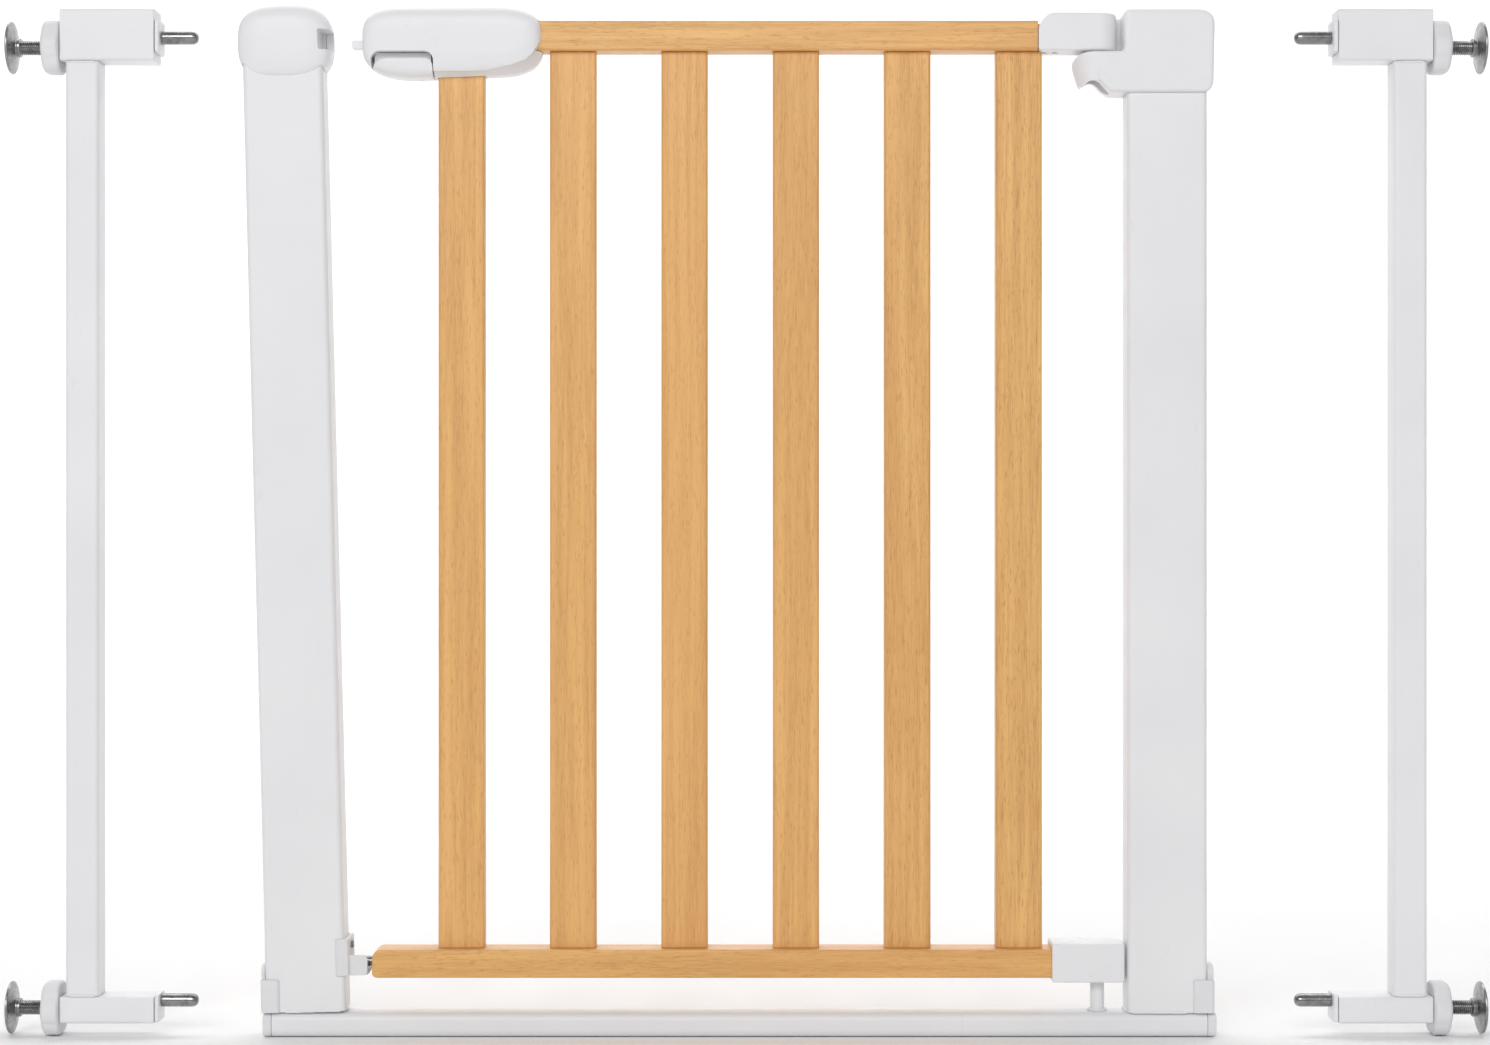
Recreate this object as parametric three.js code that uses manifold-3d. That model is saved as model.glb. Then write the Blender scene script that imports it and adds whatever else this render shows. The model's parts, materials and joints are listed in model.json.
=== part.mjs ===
// Pressure-fit safety gate with a wooden swing door and two plug-in extension frames.
// Millimetres, +Z up, +X to the right seen from the front, +Y away from the front.
// The origin is the centre of the base bar's underside, where the gate stands on the floor.
import * as THREE from 'three';
import { mergeVertices } from 'three/addons/utils/BufferGeometryUtils.js';
import Module from 'manifold-3d';

// ---------------------------------------------------------------- driving dimensions
const GAP = 0.3; // between pieces that touch
const RUNNING_GAP = 0.6; // between a turning or sliding piece and its guide

// base bar, a flat steel tube that stays on the floor under the opening
const BAR_LENGTH = 716;
const BAR_HEIGHT = 18;
const BAR_DEPTH = 30;
const BAR_RADIUS = 6;
const PLUG_FLANGE = 6.5;
const TUBE_WALL = 1.5;

// posts
const POST_WIDTH = 60;
const POST_DEPTH = 30;
const POST_RADIUS = 4;
const LEFT_POST_X = -325.4;
const RIGHT_POST_X = 321;
const LEAN = THREE.MathUtils.degToRad(1.42); // the unloaded left post leans outward
const FOOT_GAP = 1.1; // room under the left post's foot for its small turn

// plug sockets for the extension frames
const UPPER_PIN_Z = 752.1;
const LOWER_PIN_Z = 25.5; // its socket lies in the post, just above the base bar
const PIN_RADIUS = 5;
const PIN_LENGTH = 28;
const SOCKET_RADIUS = 5.9;

// left cap, a pillow-shaped cover with the latch pocket
const CAP_HALF = { x: 35.5, y: 20, z: 27.9 };
const CAP_OFFSET_X = 1.2;
const CAP_CENTRE_Z = 729.4; // above the top of the base bar
const POCKET = { depth: 9.5, bottom: 722.6, top: 738, rear: 8 };

// right cap with the lobe that carries the door's upper hinge
const RIGHT_CAP = { left: 288.4, right: 356.3, bottom: 709, top: 771.2, halfDepth: 19 };
const LOBE = { left: 250.8, top: 739.9, chinX: 255.4, chin: 714 };

// door
const HINGE_X = 270;
const RAIL_TOP = { bottom: 741, top: 763.5, depth: 24, left: -215, right: 224.3 };
const RAIL_LOW = { bottom: 44.3, top: 65.6, depth: 28, left: -276, right: 252 };
const TENON = { right: 256, bottom: 744, top: 761, depth: 20 };
const SLAT_COUNT = 6;
const SLAT_PITCH = 84;
const SLAT_WIDTH = 35;
const SLAT_FRONT = -6;
const SLAT_BACK = 9;
const FIRST_SLAT_X = -209.5;

// hinge cover on the top rail, and the bracket on the bottom rail
const COVER = { left: 224.6, right: 284.2, bottom: 740.8, top: 769.3, corner: 14 };
const BRACKET = { left: 234.5, right: 289.4, bottom: 41.3, top: 70.4, halfDepth: 17 };
const HINGE_PIN_RADIUS = 5.25;
const HINGE_PIN_TOP = 62;
const SPINDLE = { radius: 5, bottom: 721, top: 757, collarRadius: 7.6 };
const HINGE_SCREW_X = [229.4, 237.9];

// latch housing, trigger and bolt
const HOUSING = { left: -284.1, right: -148, top: 773.7, halfDepth: 20, bevel: 8, wall: 2.6 };
const RECESS = { left: -276.5, right: -229.5, top: 739.5, wall: 2 };
const TRIGGER = { left: -275.6, right: -230.3, top: 734.4, corner: 7, halfDepth: 17 };
const TRIGGER_LIP = { inset: 8, inner: 7, outer: 11, top: 739.1 }; // hides the fin
const TRIGGER_TRAVEL = 4.5;
const BOLT_TRAVEL = 8.5;
const BOLT = { tip: -292.6, shoulder: -278.5, end: -240, bottom: 743.5, nose: 749.5, top: 755 };
const BOLT_HALF_DEPTH = 5;
const FIN = { left: -262, right: -250, top: 744.75, halfDepth: 3 };
const SPRING_SEAT_X = -221.5;
const SHELL_SCREWS = [{ x: -258, z: 764 }, { x: -168, z: 732 }];

// lower latch: a channel on the left post and a steel stub in the door's bottom rail
const CHANNEL = { bottom: 45.4, top: 60.4, plateTop: 73.1, right: -278.4, wrap: 6.5 };
const STUB = { z: 55, radius: 4, left: -288, right: -255 };

// extension frames; u is the distance outward from the inner end plate's face
const LEFT_EXTENSION_X = -436.5;
const RIGHT_EXTENSION_X = 446.8;
const PLATE = { thickness: 3, depth: 24, upperHeight: 25, lowerHeight: 21 };
const ARM = { end: 74, depth: 28, upperBottom: 733.1, upperTop: 772.3, lowerHeight: 20 };
const SIDE_POST = { inner: 44.8, outer: 69.8, depth: 25 };
const UPPER_SPINDLE_Z = 744.5;
const LOWER_SPINDLE_Z = 20; // the wall disc just clears the floor
const LOWER_PLATE_Z = LOWER_SPINDLE_Z + 1;
const ROD = { radius: 5.65, inner: 48 };
const HANDWHEEL = { inner: 74.4, outer: 87.8, radius: 21.1, lobes: 6, dip: 1.6 };
const DISC = { radius: 19.6, face: 114, rim: 2.2, cone: 3.6, hubRadius: 7, hub: 107 };

// ---------------------------------------------------------------- materials
const paint = new THREE.Color(0.93, 0.93, 0.94);
const material = {
  steelPaint: () => new THREE.MeshStandardMaterial({ color: paint, roughness: 0.4, metalness: 0.1 }),
  gloss: () => new THREE.MeshStandardMaterial({ color: 0xf1f1f3, roughness: 0.25, metalness: 0 }),
  matt: () => new THREE.MeshStandardMaterial({ color: 0xe6e6e8, roughness: 0.5, metalness: 0 }),
  steel: () => new THREE.MeshStandardMaterial({ color: 0x8c8c8c, roughness: 0.3, metalness: 1 }),
  wood: () => new THREE.MeshStandardMaterial({ color: 0xdca970, roughness: 0.5, metalness: 0 }),
};

// ---------------------------------------------------------------- solids
const wasm = await Module();
wasm.setup();

function solid(geometry) {
  const bare = geometry.clone();
  bare.deleteAttribute('normal');
  bare.deleteAttribute('uv');
  const merged = mergeVertices(bare, 1e-4);
  return new wasm.Manifold(new wasm.Mesh({
    numProp: 3,
    vertProperties: new Float32Array(merged.attributes.position.array),
    triVerts: new Uint32Array(merged.index.array),
  }));
}

function geometryOf(body) {
  const mesh = body.getMesh();
  const geometry = new THREE.BufferGeometry();
  geometry.setAttribute('position', new THREE.BufferAttribute(mesh.vertProperties, 3));
  geometry.setIndex(new THREE.BufferAttribute(mesh.triVerts, 1));
  geometry.computeVertexNormals();
  return geometry;
}

const join = (first, ...rest) =>
  geometryOf(rest.reduce((body, tool) => body.add(solid(tool)), solid(first)));
const cut = (first, ...tools) =>
  geometryOf(tools.reduce((body, tool) => body.subtract(solid(tool)), solid(first)));
const common = (first, second) => geometryOf(solid(first).intersect(solid(second)));

// ---------------------------------------------------------------- shapes
const X = new THREE.Vector3(1, 0, 0);
const Y = new THREE.Vector3(0, 1, 0);
const Z = new THREE.Vector3(0, 0, 1);
// a section drawn in (Y, Z), extruded along X
const alongX = (geometry) => geometry.applyMatrix4(new THREE.Matrix4().makeBasis(Y, Z, X));
// an outline drawn in the front view (X, Z), extruded along Y
const alongY = (geometry) =>
  geometry.applyMatrix4(new THREE.Matrix4().makeBasis(X, Z, Y.clone().negate()));

function box(x0, x1, y0, y1, z0, z1) {
  return new THREE.BoxGeometry(x1 - x0, y1 - y0, z1 - z0)
    .translate((x0 + x1) / 2, (y0 + y1) / 2, (z0 + z1) / 2);
}

function cylinderX(radius, x0, x1, y, z, sides = 16) {
  return new THREE.CylinderGeometry(radius, radius, x1 - x0, sides)
    .rotateZ(Math.PI / 2).translate((x0 + x1) / 2, y, z);
}

function cylinderY(radius, x, y0, y1, z, sides = 12) {
  return new THREE.CylinderGeometry(radius, radius, y1 - y0, sides)
    .translate(x, (y0 + y1) / 2, z);
}

function cylinderZ(radius, x, y, z0, z1, sides = 20) {
  return new THREE.CylinderGeometry(radius, radius, z1 - z0, sides)
    .rotateX(Math.PI / 2).translate(x, y, (z0 + z1) / 2);
}

// a turned piece about its local Y axis, from [radius, height] points that start and end on the axis
const turned = (points, sides = 16) =>
  new THREE.LatheGeometry(points.map(([r, h]) => new THREE.Vector2(r, h)), sides);

function roundedRectangle(width, height, radius, Path = THREE.Shape) {
  const w = width / 2 - radius;
  const h = height / 2 - radius;
  const path = new Path();
  path.absarc(w, h, radius, 0, Math.PI / 2);
  path.absarc(-w, h, radius, Math.PI / 2, Math.PI);
  path.absarc(-w, -h, radius, Math.PI, Math.PI * 1.5);
  path.absarc(w, -h, radius, Math.PI * 1.5, Math.PI * 2);
  path.closePath();
  return path;
}

// an extrusion centred on its own middle, with rounded rims of the given size inside the outline
function extrude(shape, depth, bevel = 0, bevelSegments = 1, curveSegments = 2) {
  return new THREE.ExtrudeGeometry(shape, {
    depth: depth - 2 * bevel,
    bevelEnabled: bevel > 0,
    bevelThickness: bevel,
    bevelSize: bevel,
    bevelOffset: -bevel,
    bevelSegments,
    curveSegments,
  }).translate(0, 0, bevel - depth / 2);
}

// a hollow rectangular tube along Z, centred on its own middle
function tube(width, depth, radius, length) {
  const shape = roundedRectangle(width, depth, radius);
  shape.holes.push(
    roundedRectangle(width - 2 * TUBE_WALL, depth - 2 * TUBE_WALL, radius - TUBE_WALL, THREE.Path),
  );
  return extrude(shape, length);
}

// a pillow: superelliptic in the front view, flatter towards the front and the back
function pillow({ x, y, z }) {
  const geometry = new THREE.SphereGeometry(1, 24, 14).rotateX(Math.PI / 2);
  const place = geometry.attributes.position;
  for (let i = 0; i < place.count; i += 1) {
    const [dx, dy, dz] = [place.getX(i), place.getY(i), place.getZ(i)];
    const face = Math.abs(dx) ** 3 + Math.abs(dz) ** 3;
    const reach = (face ** (4 / 3) + dy ** 4) ** (-1 / 4);
    place.setXYZ(i, dx * reach * x, dy * reach * y, dz * reach * z);
  }
  return geometry;
}

class Helix extends THREE.Curve {
  constructor(radius, length, turns) {
    super();
    Object.assign(this, { radius, length, turns });
  }

  getPoint(t, target = new THREE.Vector3()) {
    const angle = t * this.turns * 2 * Math.PI;
    return target.set(
      this.radius * Math.cos(angle),
      this.radius * Math.sin(angle),
      (t - 0.5) * this.length,
    );
  }
}

// a coil spring about its local Z axis, centred on its own middle
function spring(radius, wire, length, turns) {
  const section = new THREE.Shape().absarc(0, 0, wire, 0, 2 * Math.PI);
  return new THREE.ExtrudeGeometry(section, {
    extrudePath: new Helix(radius, length - 2 * wire, turns),
    steps: turns * 8,
    curveSegments: 2,
  });
}

// a screw along its local Y axis: the head's top at the origin, the shank running to -Y
function screw(headRadius, headHeight, shankRadius, length) {
  return turned([
    [0, -length],
    [shankRadius * 0.5, -length],
    [shankRadius, 1.5 - length],
    [shankRadius, -headHeight],
    [headRadius, -headHeight],
    [headRadius, -headHeight / 3],
    [headRadius * 0.8, 0],
    [0, 0],
  ], 10);
}

function piece(name, geometry, look, x = 0, y = 0, z = 0) {
  const mesh = new THREE.Mesh(geometry, look);
  mesh.name = name;
  mesh.position.set(x, y, z);
  return mesh;
}

// ---------------------------------------------------------------- base frame
function basePlug(side) {
  const flange = alongX(extrude(roundedRectangle(BAR_DEPTH, BAR_HEIGHT, BAR_RADIUS), PLUG_FLANGE, 1));
  const inset = 2 * (TUBE_WALL + GAP);
  const spigotLength = 14;
  const spigot = alongX(extrude(
    roundedRectangle(BAR_DEPTH - inset, BAR_HEIGHT - inset, BAR_RADIUS - inset / 2),
    spigotLength,
  )).translate(-side * (PLUG_FLANGE / 2 + spigotLength / 2 - 0.5), 0, 0);
  return join(flange, spigot);
}

// the plan of a cover that clasps the outer half of a post's foot, drawn with the outside at -X
function footCover(outerThickness, bandHeight, tabHeight) {
  const halfDepth = POST_DEPTH / 2 + 2;
  const wrap = 11;
  const outer = -POST_WIDTH / 2 - outerThickness;
  const width = outerThickness + wrap;
  const band = extrude(roundedRectangle(width, 2 * halfDepth, 3), bandHeight)
    .translate(outer + width / 2, 0, bandHeight / 2);
  const tab = alongX(extrude(roundedRectangle(22, tabHeight, 6), outerThickness - GAP, 1.2))
    .translate(outer + (outerThickness - GAP) / 2, 0, tabHeight / 2);
  const post = extrude(
    roundedRectangle(POST_WIDTH + 2 * GAP, POST_DEPTH + 2 * GAP, POST_RADIUS),
    3 * tabHeight,
  );
  const socket = cylinderX(SOCKET_RADIUS, outer - 5, outer + 20, 0, 0);
  return { body: join(band, tab), post, socket };
}

function rightPost() {
  const bottom = BAR_HEIGHT + GAP;
  const top = 762;
  const post = tube(POST_WIDTH, POST_DEPTH, POST_RADIUS, top - bottom)
    .translate(RIGHT_POST_X, 0, (top + bottom) / 2);
  const outside = RIGHT_POST_X + POST_WIDTH / 2;
  return cut(
    post,
    cylinderX(SOCKET_RADIUS, outside - 10, outside + 10, 0, UPPER_PIN_Z),
    cylinderX(SOCKET_RADIUS, outside - 10, outside + 10, 0, LOWER_PIN_Z),
  );
}

function rightCapOutline() {
  const { left, right, bottom, top } = RIGHT_CAP;
  const outline = new THREE.Shape();
  outline.moveTo(left + 5, top);
  outline.lineTo(right - 9, top);
  outline.quadraticCurveTo(right, top, right, top - 10);
  outline.lineTo(right - 1, bottom + 9);
  outline.quadraticCurveTo(right - 1.5, bottom, right - 8, bottom);
  outline.lineTo(280, bottom);
  // the scallop under the lobe, then its chin
  outline.quadraticCurveTo(276, bottom + 1.4, 272, LOBE.chin + 1);
  outline.quadraticCurveTo(265.5, LOBE.chin + 8, LOBE.chinX, LOBE.chin);
  outline.quadraticCurveTo(252, 722.5, LOBE.left, 731);
  outline.quadraticCurveTo(LOBE.left, LOBE.top - 1.5, 266, LOBE.top);
  outline.lineTo(left - 3, LOBE.top);
  outline.quadraticCurveTo(left, LOBE.top, left, LOBE.top + 4);
  outline.lineTo(left, top - 5);
  outline.quadraticCurveTo(left, top, left + 5, top);
  return outline;
}

function rightCap() {
  const { left, right, top, halfDepth } = RIGHT_CAP;
  const shell = alongY(extrude(rightCapOutline(), 2 * halfDepth, 3, 2, 4));
  // a wall beside the door's hinge cover, behind the groove between the two
  const wall = box(COVER.right + 0.7, left + 8, -4, halfDepth - 4, LOBE.top - 5, top - 4);
  // the lobe is round about the hinge axis and narrows towards its chin
  const lobeRadius = HINGE_X - LOBE.left;
  const round = turned([
    [0, 700], [13, 700], [HINGE_X - LOBE.chinX, LOBE.chin], [17.4, 722.5],
    [lobeRadius, 731], [lobeRadius, 750], [0, 750],
  ], 48).rotateX(Math.PI / 2).translate(HINGE_X, 0, 0);
  const body = join(common(shell, join(round, box(HINGE_X, 400, -30, 30, 690, 800))), wall);
  const postTop = 762 + GAP;
  return cut(
    body,
    extrude(roundedRectangle(POST_WIDTH + 2 * GAP, POST_DEPTH + 2 * GAP, POST_RADIUS), 80)
      .translate(RIGHT_POST_X, 0, postTop - 40),
    cylinderX(SOCKET_RADIUS, right - 20, right + 5, 0, UPPER_PIN_Z),
    cylinderZ(9.3, HINGE_X, 0, 700, 736.3),
    cylinderZ(SPINDLE.radius + RUNNING_GAP, HINGE_X, 0, 730, 745),
  );
}

function hingeBush() {
  return cut(
    cylinderZ(9, HINGE_X, 0, 729.6, 736),
    cylinderZ(SPINDLE.radius + RUNNING_GAP, HINGE_X, 0, 725, 740),
  );
}

function lowerHingePin() {
  const r = HINGE_PIN_RADIUS;
  const foot = BAR_HEIGHT + GAP;
  return turned([
    [0, foot],
    [r + 1.6, foot],
    [r, foot + 1.6],
    [r, HINGE_PIN_TOP - 2],
    [r - 2, HINGE_PIN_TOP],
    [0, HINGE_PIN_TOP],
  ]).rotateX(Math.PI / 2).translate(HINGE_X, 0, 0);
}

function baseFrame() {
  const group = new THREE.Group();
  const barTube = BAR_LENGTH - 2 * PLUG_FLANGE - 2 * GAP;
  const mid = BAR_HEIGHT / 2;
  const cover = footCover(5.4, 24.7, 35.3);
  const rightFoot = cut(
    cover.body,
    cover.post,
    cover.socket.translate(0, 0, LOWER_PIN_Z - BAR_HEIGHT - GAP),
  ).rotateZ(Math.PI);
  group.add(
    piece('base_bar', alongX(tube(BAR_DEPTH, BAR_HEIGHT, BAR_RADIUS, barTube)),
      material.steelPaint(), 0, 0, mid),
    piece('base_plug_left', basePlug(-1), material.matt(), (PLUG_FLANGE - BAR_LENGTH) / 2, 0, mid),
    piece('base_plug_right', basePlug(1), material.matt(), (BAR_LENGTH - PLUG_FLANGE) / 2, 0, mid),
    piece('right_post', rightPost(), material.steelPaint()),
    piece('right_cap', rightCap(), material.gloss()),
    piece('right_foot_cover', rightFoot, material.matt(), RIGHT_POST_X, 0, BAR_HEIGHT + GAP),
    piece('lower_hinge_pin', lowerHingePin(), material.steelPaint()),
    piece('hinge_bush', hingeBush(), material.matt()),
    piece('closing_spring', spring(7.4, 0.7, 5.2, 3), material.steel(), HINGE_X, 0, 726.6),
  );
  return group;
}

// ---------------------------------------------------------------- left frame
// drawn upright with its origin at the foot, on top of the base bar, then leant outward
const LEFT_POST_TOP = 760 - BAR_HEIGHT;

function latchPocket() {
  const right = CAP_OFFSET_X + CAP_HALF.x;
  return box(right - POCKET.depth, right + 5, -CAP_HALF.y - 5, POCKET.rear, POCKET.bottom, POCKET.top);
}

function upperSocket() {
  return cylinderX(SOCKET_RADIUS, -CAP_HALF.x - 5, -20, 0, UPPER_PIN_Z - BAR_HEIGHT);
}

const LATCH_SCREW_Z = CHANNEL.plateTop - BAR_HEIGHT - 6;
const latchScrewHole = () => cylinderX(2, 20, 40, 0, LATCH_SCREW_Z, 12);

function leftPost() {
  const post = tube(POST_WIDTH, POST_DEPTH, POST_RADIUS, LEFT_POST_TOP - FOOT_GAP)
    .translate(0, 0, (LEFT_POST_TOP + FOOT_GAP) / 2);
  const lower = cylinderX(SOCKET_RADIUS, -40, -20, 0, LOWER_PIN_Z - BAR_HEIGHT);
  return cut(post, latchPocket(), upperSocket(), lower, latchScrewHole());
}

function leftCap() {
  const body = pillow(CAP_HALF).translate(CAP_OFFSET_X, 0, CAP_CENTRE_Z);
  const post = extrude(
    roundedRectangle(POST_WIDTH + 2 * GAP, POST_DEPTH + 2 * GAP, POST_RADIUS),
    80,
  ).translate(0, 0, LEFT_POST_TOP + GAP - 40);
  return cut(body, post, latchPocket(), upperSocket());
}

function lowerLatchBracket() {
  const inner = POST_WIDTH / 2;
  const plate = 3.4;
  const bottom = CHANNEL.bottom - BAR_HEIGHT;
  const top = CHANNEL.plateTop - BAR_HEIGHT;
  const channelTop = CHANNEL.top - BAR_HEIGHT;
  const right = CHANNEL.right - LEFT_POST_X;
  const halfDepth = POST_DEPTH / 2 + 2.2;
  const clasp = box(inner - CHANNEL.wrap, inner + plate, -halfDepth, halfDepth, bottom, top);
  const floor = box(inner, right, -14, 12, bottom, bottom + 3.3);
  const frontWall = box(inner, right, -14, -11, bottom, channelTop);
  const post = extrude(
    roundedRectangle(POST_WIDTH + 2 * GAP, POST_DEPTH + 2 * GAP, POST_RADIUS),
    200,
  );
  return cut(join(clasp, floor, frontWall), post, latchScrewHole());
}

function latchBracketScrew() {
  const inner = POST_WIDTH / 2;
  return cut(
    screw(3, 1.6, 1.7, 14).rotateZ(-Math.PI / 2).translate(inner + 5.3, 0, 0),
    box(inner + 4.9, inner + 6, -0.4, 0.4, -3, 3),
  );
}

function leftFrame() {
  const group = new THREE.Group();
  const cover = footCover(3.4, 24.7, 35.3);
  const foot = cut(
    cover.body,
    cover.post,
    cover.socket.translate(0, 0, LOWER_PIN_Z - BAR_HEIGHT - FOOT_GAP),
  );
  group.add(
    piece('left_post', leftPost(), material.steelPaint()),
    piece('left_cap', leftCap(), material.gloss()),
    piece('left_foot_cover', foot, material.matt(), 0, 0, FOOT_GAP),
    piece('lower_latch_bracket', lowerLatchBracket(), material.matt()),
    piece('latch_bracket_screw', latchBracketScrew(), material.steel(),
      0, 0, LATCH_SCREW_Z),
  );
  group.position.set(LEFT_POST_X, 0, BAR_HEIGHT);
  group.rotation.y = -LEAN;
  return group;
}

// ---------------------------------------------------------------- door
function topRail() {
  const { left, right, bottom, top, depth } = RAIL_TOP;
  const rail = alongX(extrude(roundedRectangle(depth, top - bottom, 2), right - left))
    .translate((left + right) / 2, 0, (bottom + top) / 2);
  const tenon = box(right - 5, TENON.right, -TENON.depth / 2, TENON.depth / 2, TENON.bottom, TENON.top);
  const holes = HINGE_SCREW_X.map((x) => cylinderZ(1.8, x, 0, bottom - 5, 756, 12));
  return cut(join(rail, tenon), ...holes);
}

function bottomRail() {
  const { left, right, bottom, top, depth } = RAIL_LOW;
  const outline = new THREE.Shape([
    new THREE.Vector2(left + 3, bottom),
    new THREE.Vector2(right, bottom),
    new THREE.Vector2(right, top),
    new THREE.Vector2(left + 5, top),
    new THREE.Vector2(left, top - 6),
    new THREE.Vector2(left, bottom + 4),
  ]);
  return cut(
    alongY(extrude(outline, depth, 1.5, 1)),
    cylinderX(STUB.radius + GAP, left - 5, STUB.right + 1, 0, STUB.z),
    cylinderZ(1.8, 243, 0, bottom - 5, 59, 12),
  );
}

function slat(index) {
  const bottom = RAIL_LOW.top + GAP;
  const top = RAIL_TOP.bottom - GAP;
  const section = roundedRectangle(SLAT_WIDTH, SLAT_BACK - SLAT_FRONT, 2);
  return piece(
    `slat_${index + 1}`,
    extrude(section, top - bottom),
    material.wood(),
    FIRST_SLAT_X + SLAT_PITCH * index,
    (SLAT_FRONT + SLAT_BACK) / 2,
    (top + bottom) / 2,
  );
}

function hingeCover() {
  const { left, right, bottom, top, corner } = COVER;
  const reach = right - HINGE_X;
  const plan = new THREE.Shape();
  plan.moveTo(left, -reach);
  plan.lineTo(HINGE_X, -reach);
  plan.absarc(HINGE_X, 0, reach, -Math.PI / 2, Math.PI / 2);
  plan.lineTo(left, reach);
  plan.closePath();
  const front = new THREE.Shape();
  front.moveTo(left, bottom);
  front.lineTo(right + 1, bottom);
  front.lineTo(right + 1, top);
  front.lineTo(left + corner, top);
  front.absarc(left + corner, top - corner, corner, Math.PI / 2, Math.PI);
  front.closePath();
  const body = common(
    extrude(plan, top - bottom, 1.5, 1, 6).translate(0, 0, (top + bottom) / 2),
    alongY(extrude(front, 60, 0, 1, 3)),
  );
  const screwHoles = HINGE_SCREW_X.flatMap((x) => [
    cylinderZ(1.8, x, 0, bottom - 5, 746, 12),
    cylinderZ(3, x, 0, bottom - 5, bottom + 1.4, 12),
  ]);
  const half = TENON.depth / 2 + GAP;
  return cut(
    body,
    box(left - 5, TENON.right + GAP, -half, half, TENON.bottom - GAP, TENON.top + GAP),
    cylinderZ(SPINDLE.radius + GAP, HINGE_X, 0, bottom - 5, SPINDLE.top + GAP),
    ...screwHoles,
  );
}

function lowerHingeBracket() {
  const { left, right, bottom, top, halfDepth } = BRACKET;
  const reach = right - HINGE_X;
  const turn = Math.asin(halfDepth / reach);
  const plan = new THREE.Shape();
  plan.moveTo(left, -halfDepth);
  plan.lineTo(right - 3, -halfDepth);
  plan.lineTo(right, -halfDepth + 3);
  plan.absarc(HINGE_X, 0, reach, 0, turn);
  plan.lineTo(left, halfDepth);
  plan.closePath();
  const rail = RAIL_LOW.depth / 2 + GAP;
  return cut(
    extrude(plan, top - bottom, 1.2, 1, 5).translate(0, 0, (top + bottom) / 2),
    box(left - 5, RAIL_LOW.right + GAP, -rail, rail, RAIL_LOW.bottom - GAP, RAIL_LOW.top + GAP),
    cylinderZ(HINGE_PIN_RADIUS + RUNNING_GAP, HINGE_X, 0, bottom - 5, 66),
    cylinderZ(1.8, 243, 0, bottom - 5, bottom + 5, 12),
    cylinderZ(3.2, 243, 0, bottom - 5, bottom + 1.6, 12),
  );
}

// the front view of the latch housing, drawn smaller by inset
function housingOutline(inset = 0) {
  const left = HOUSING.left + inset;
  const right = HOUSING.right - inset;
  const top = HOUSING.top - inset;
  const low = 719.4 + inset;
  const outline = new THREE.Shape();
  outline.moveTo(left + 26, top - 0.5);
  outline.lineTo(right - 30, top);
  outline.quadraticCurveTo(right, top - 2, right, top - 18);
  outline.lineTo(right, top - 30);
  outline.quadraticCurveTo(right - 1, low + 6, right - 26, low + 3);
  outline.lineTo(left + 38, low);
  outline.quadraticCurveTo(left, low + 1, left, low + 23);
  outline.lineTo(left, low + 34);
  outline.quadraticCurveTo(left, top - 1.5, left + 26, top - 0.5);
  return outline;
}

const housingBody = (inset) =>
  alongY(extrude(housingOutline(inset), 2 * (HOUSING.halfDepth - inset), HOUSING.bevel - inset, 2, 5));

function latchCavity() {
  const wall = RECESS.wall;
  const recessBlock = box(
    RECESS.left - wall, RECESS.right + wall, -30, 30, 700, RECESS.top + wall,
  );
  const seat = box(SPRING_SEAT_X, SPRING_SEAT_X + 2, -30, 30, 700, 800);
  const bosses = SHELL_SCREWS.map(({ x, z }) => cylinderY(4.5, x, -30, 30, z));
  return cut(housingBody(HOUSING.wall), recessBlock, seat, ...bosses);
}

// one of the trigger's two lips, or with room around it and travel above it, its slot
function triggerLip(side, room = 0, travel = 0) {
  const { inset, inner, outer, top } = TRIGGER_LIP;
  const ys = [side * (inner - room), side * (outer + room)].sort((a, b) => a - b);
  return box(
    TRIGGER.left + inset - room, TRIGGER.right - inset + room, ...ys,
    TRIGGER.top - 3, top + travel + room,
  );
}

function latchShell(side) {
  const half = side < 0 ? box(-400, 0, -50, -GAP / 2, 600, 900) : box(-400, 0, GAP / 2, 50, 600, 900);
  const railHalf = RAIL_TOP.depth / 2 + GAP;
  const recess = alongY(extrude(
    roundedRectangle(RECESS.right - RECESS.left, 60, 7),
    80,
  )).translate((RECESS.left + RECESS.right) / 2, 0, RECESS.top - 30);
  const tools = [
    latchCavity(),
    recess,
    box(RAIL_TOP.left - GAP, 0, -railHalf, railHalf, RAIL_TOP.bottom - GAP, RAIL_TOP.top + GAP),
    box(FIRST_SLAT_X - SLAT_WIDTH / 2 - GAP, FIRST_SLAT_X + SLAT_WIDTH / 2 + GAP,
      SLAT_FRONT - GAP, SLAT_BACK + GAP, 700, RAIL_TOP.bottom),
    box(-300, BOLT.shoulder + 5, -BOLT_HALF_DEPTH - 0.4, BOLT_HALF_DEPTH + 0.4,
      BOLT.bottom - 0.4, BOLT.nose + 0.4),
    box(FIN.left - 0.6, FIN.right + 0.6, -FIN.halfDepth - 0.4, FIN.halfDepth + 0.4, 735, 743),
    triggerLip(side, RUNNING_GAP, TRIGGER_TRAVEL),
    ...SHELL_SCREWS.flatMap(({ x, z }) => [
      cylinderY(1.8, x, -8.5, 30, z, 12),
      cylinderY(3.6, x, 12, 30, z, 16),
    ]),
  ];
  return cut(common(housingBody(0), half), ...tools);
}

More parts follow.
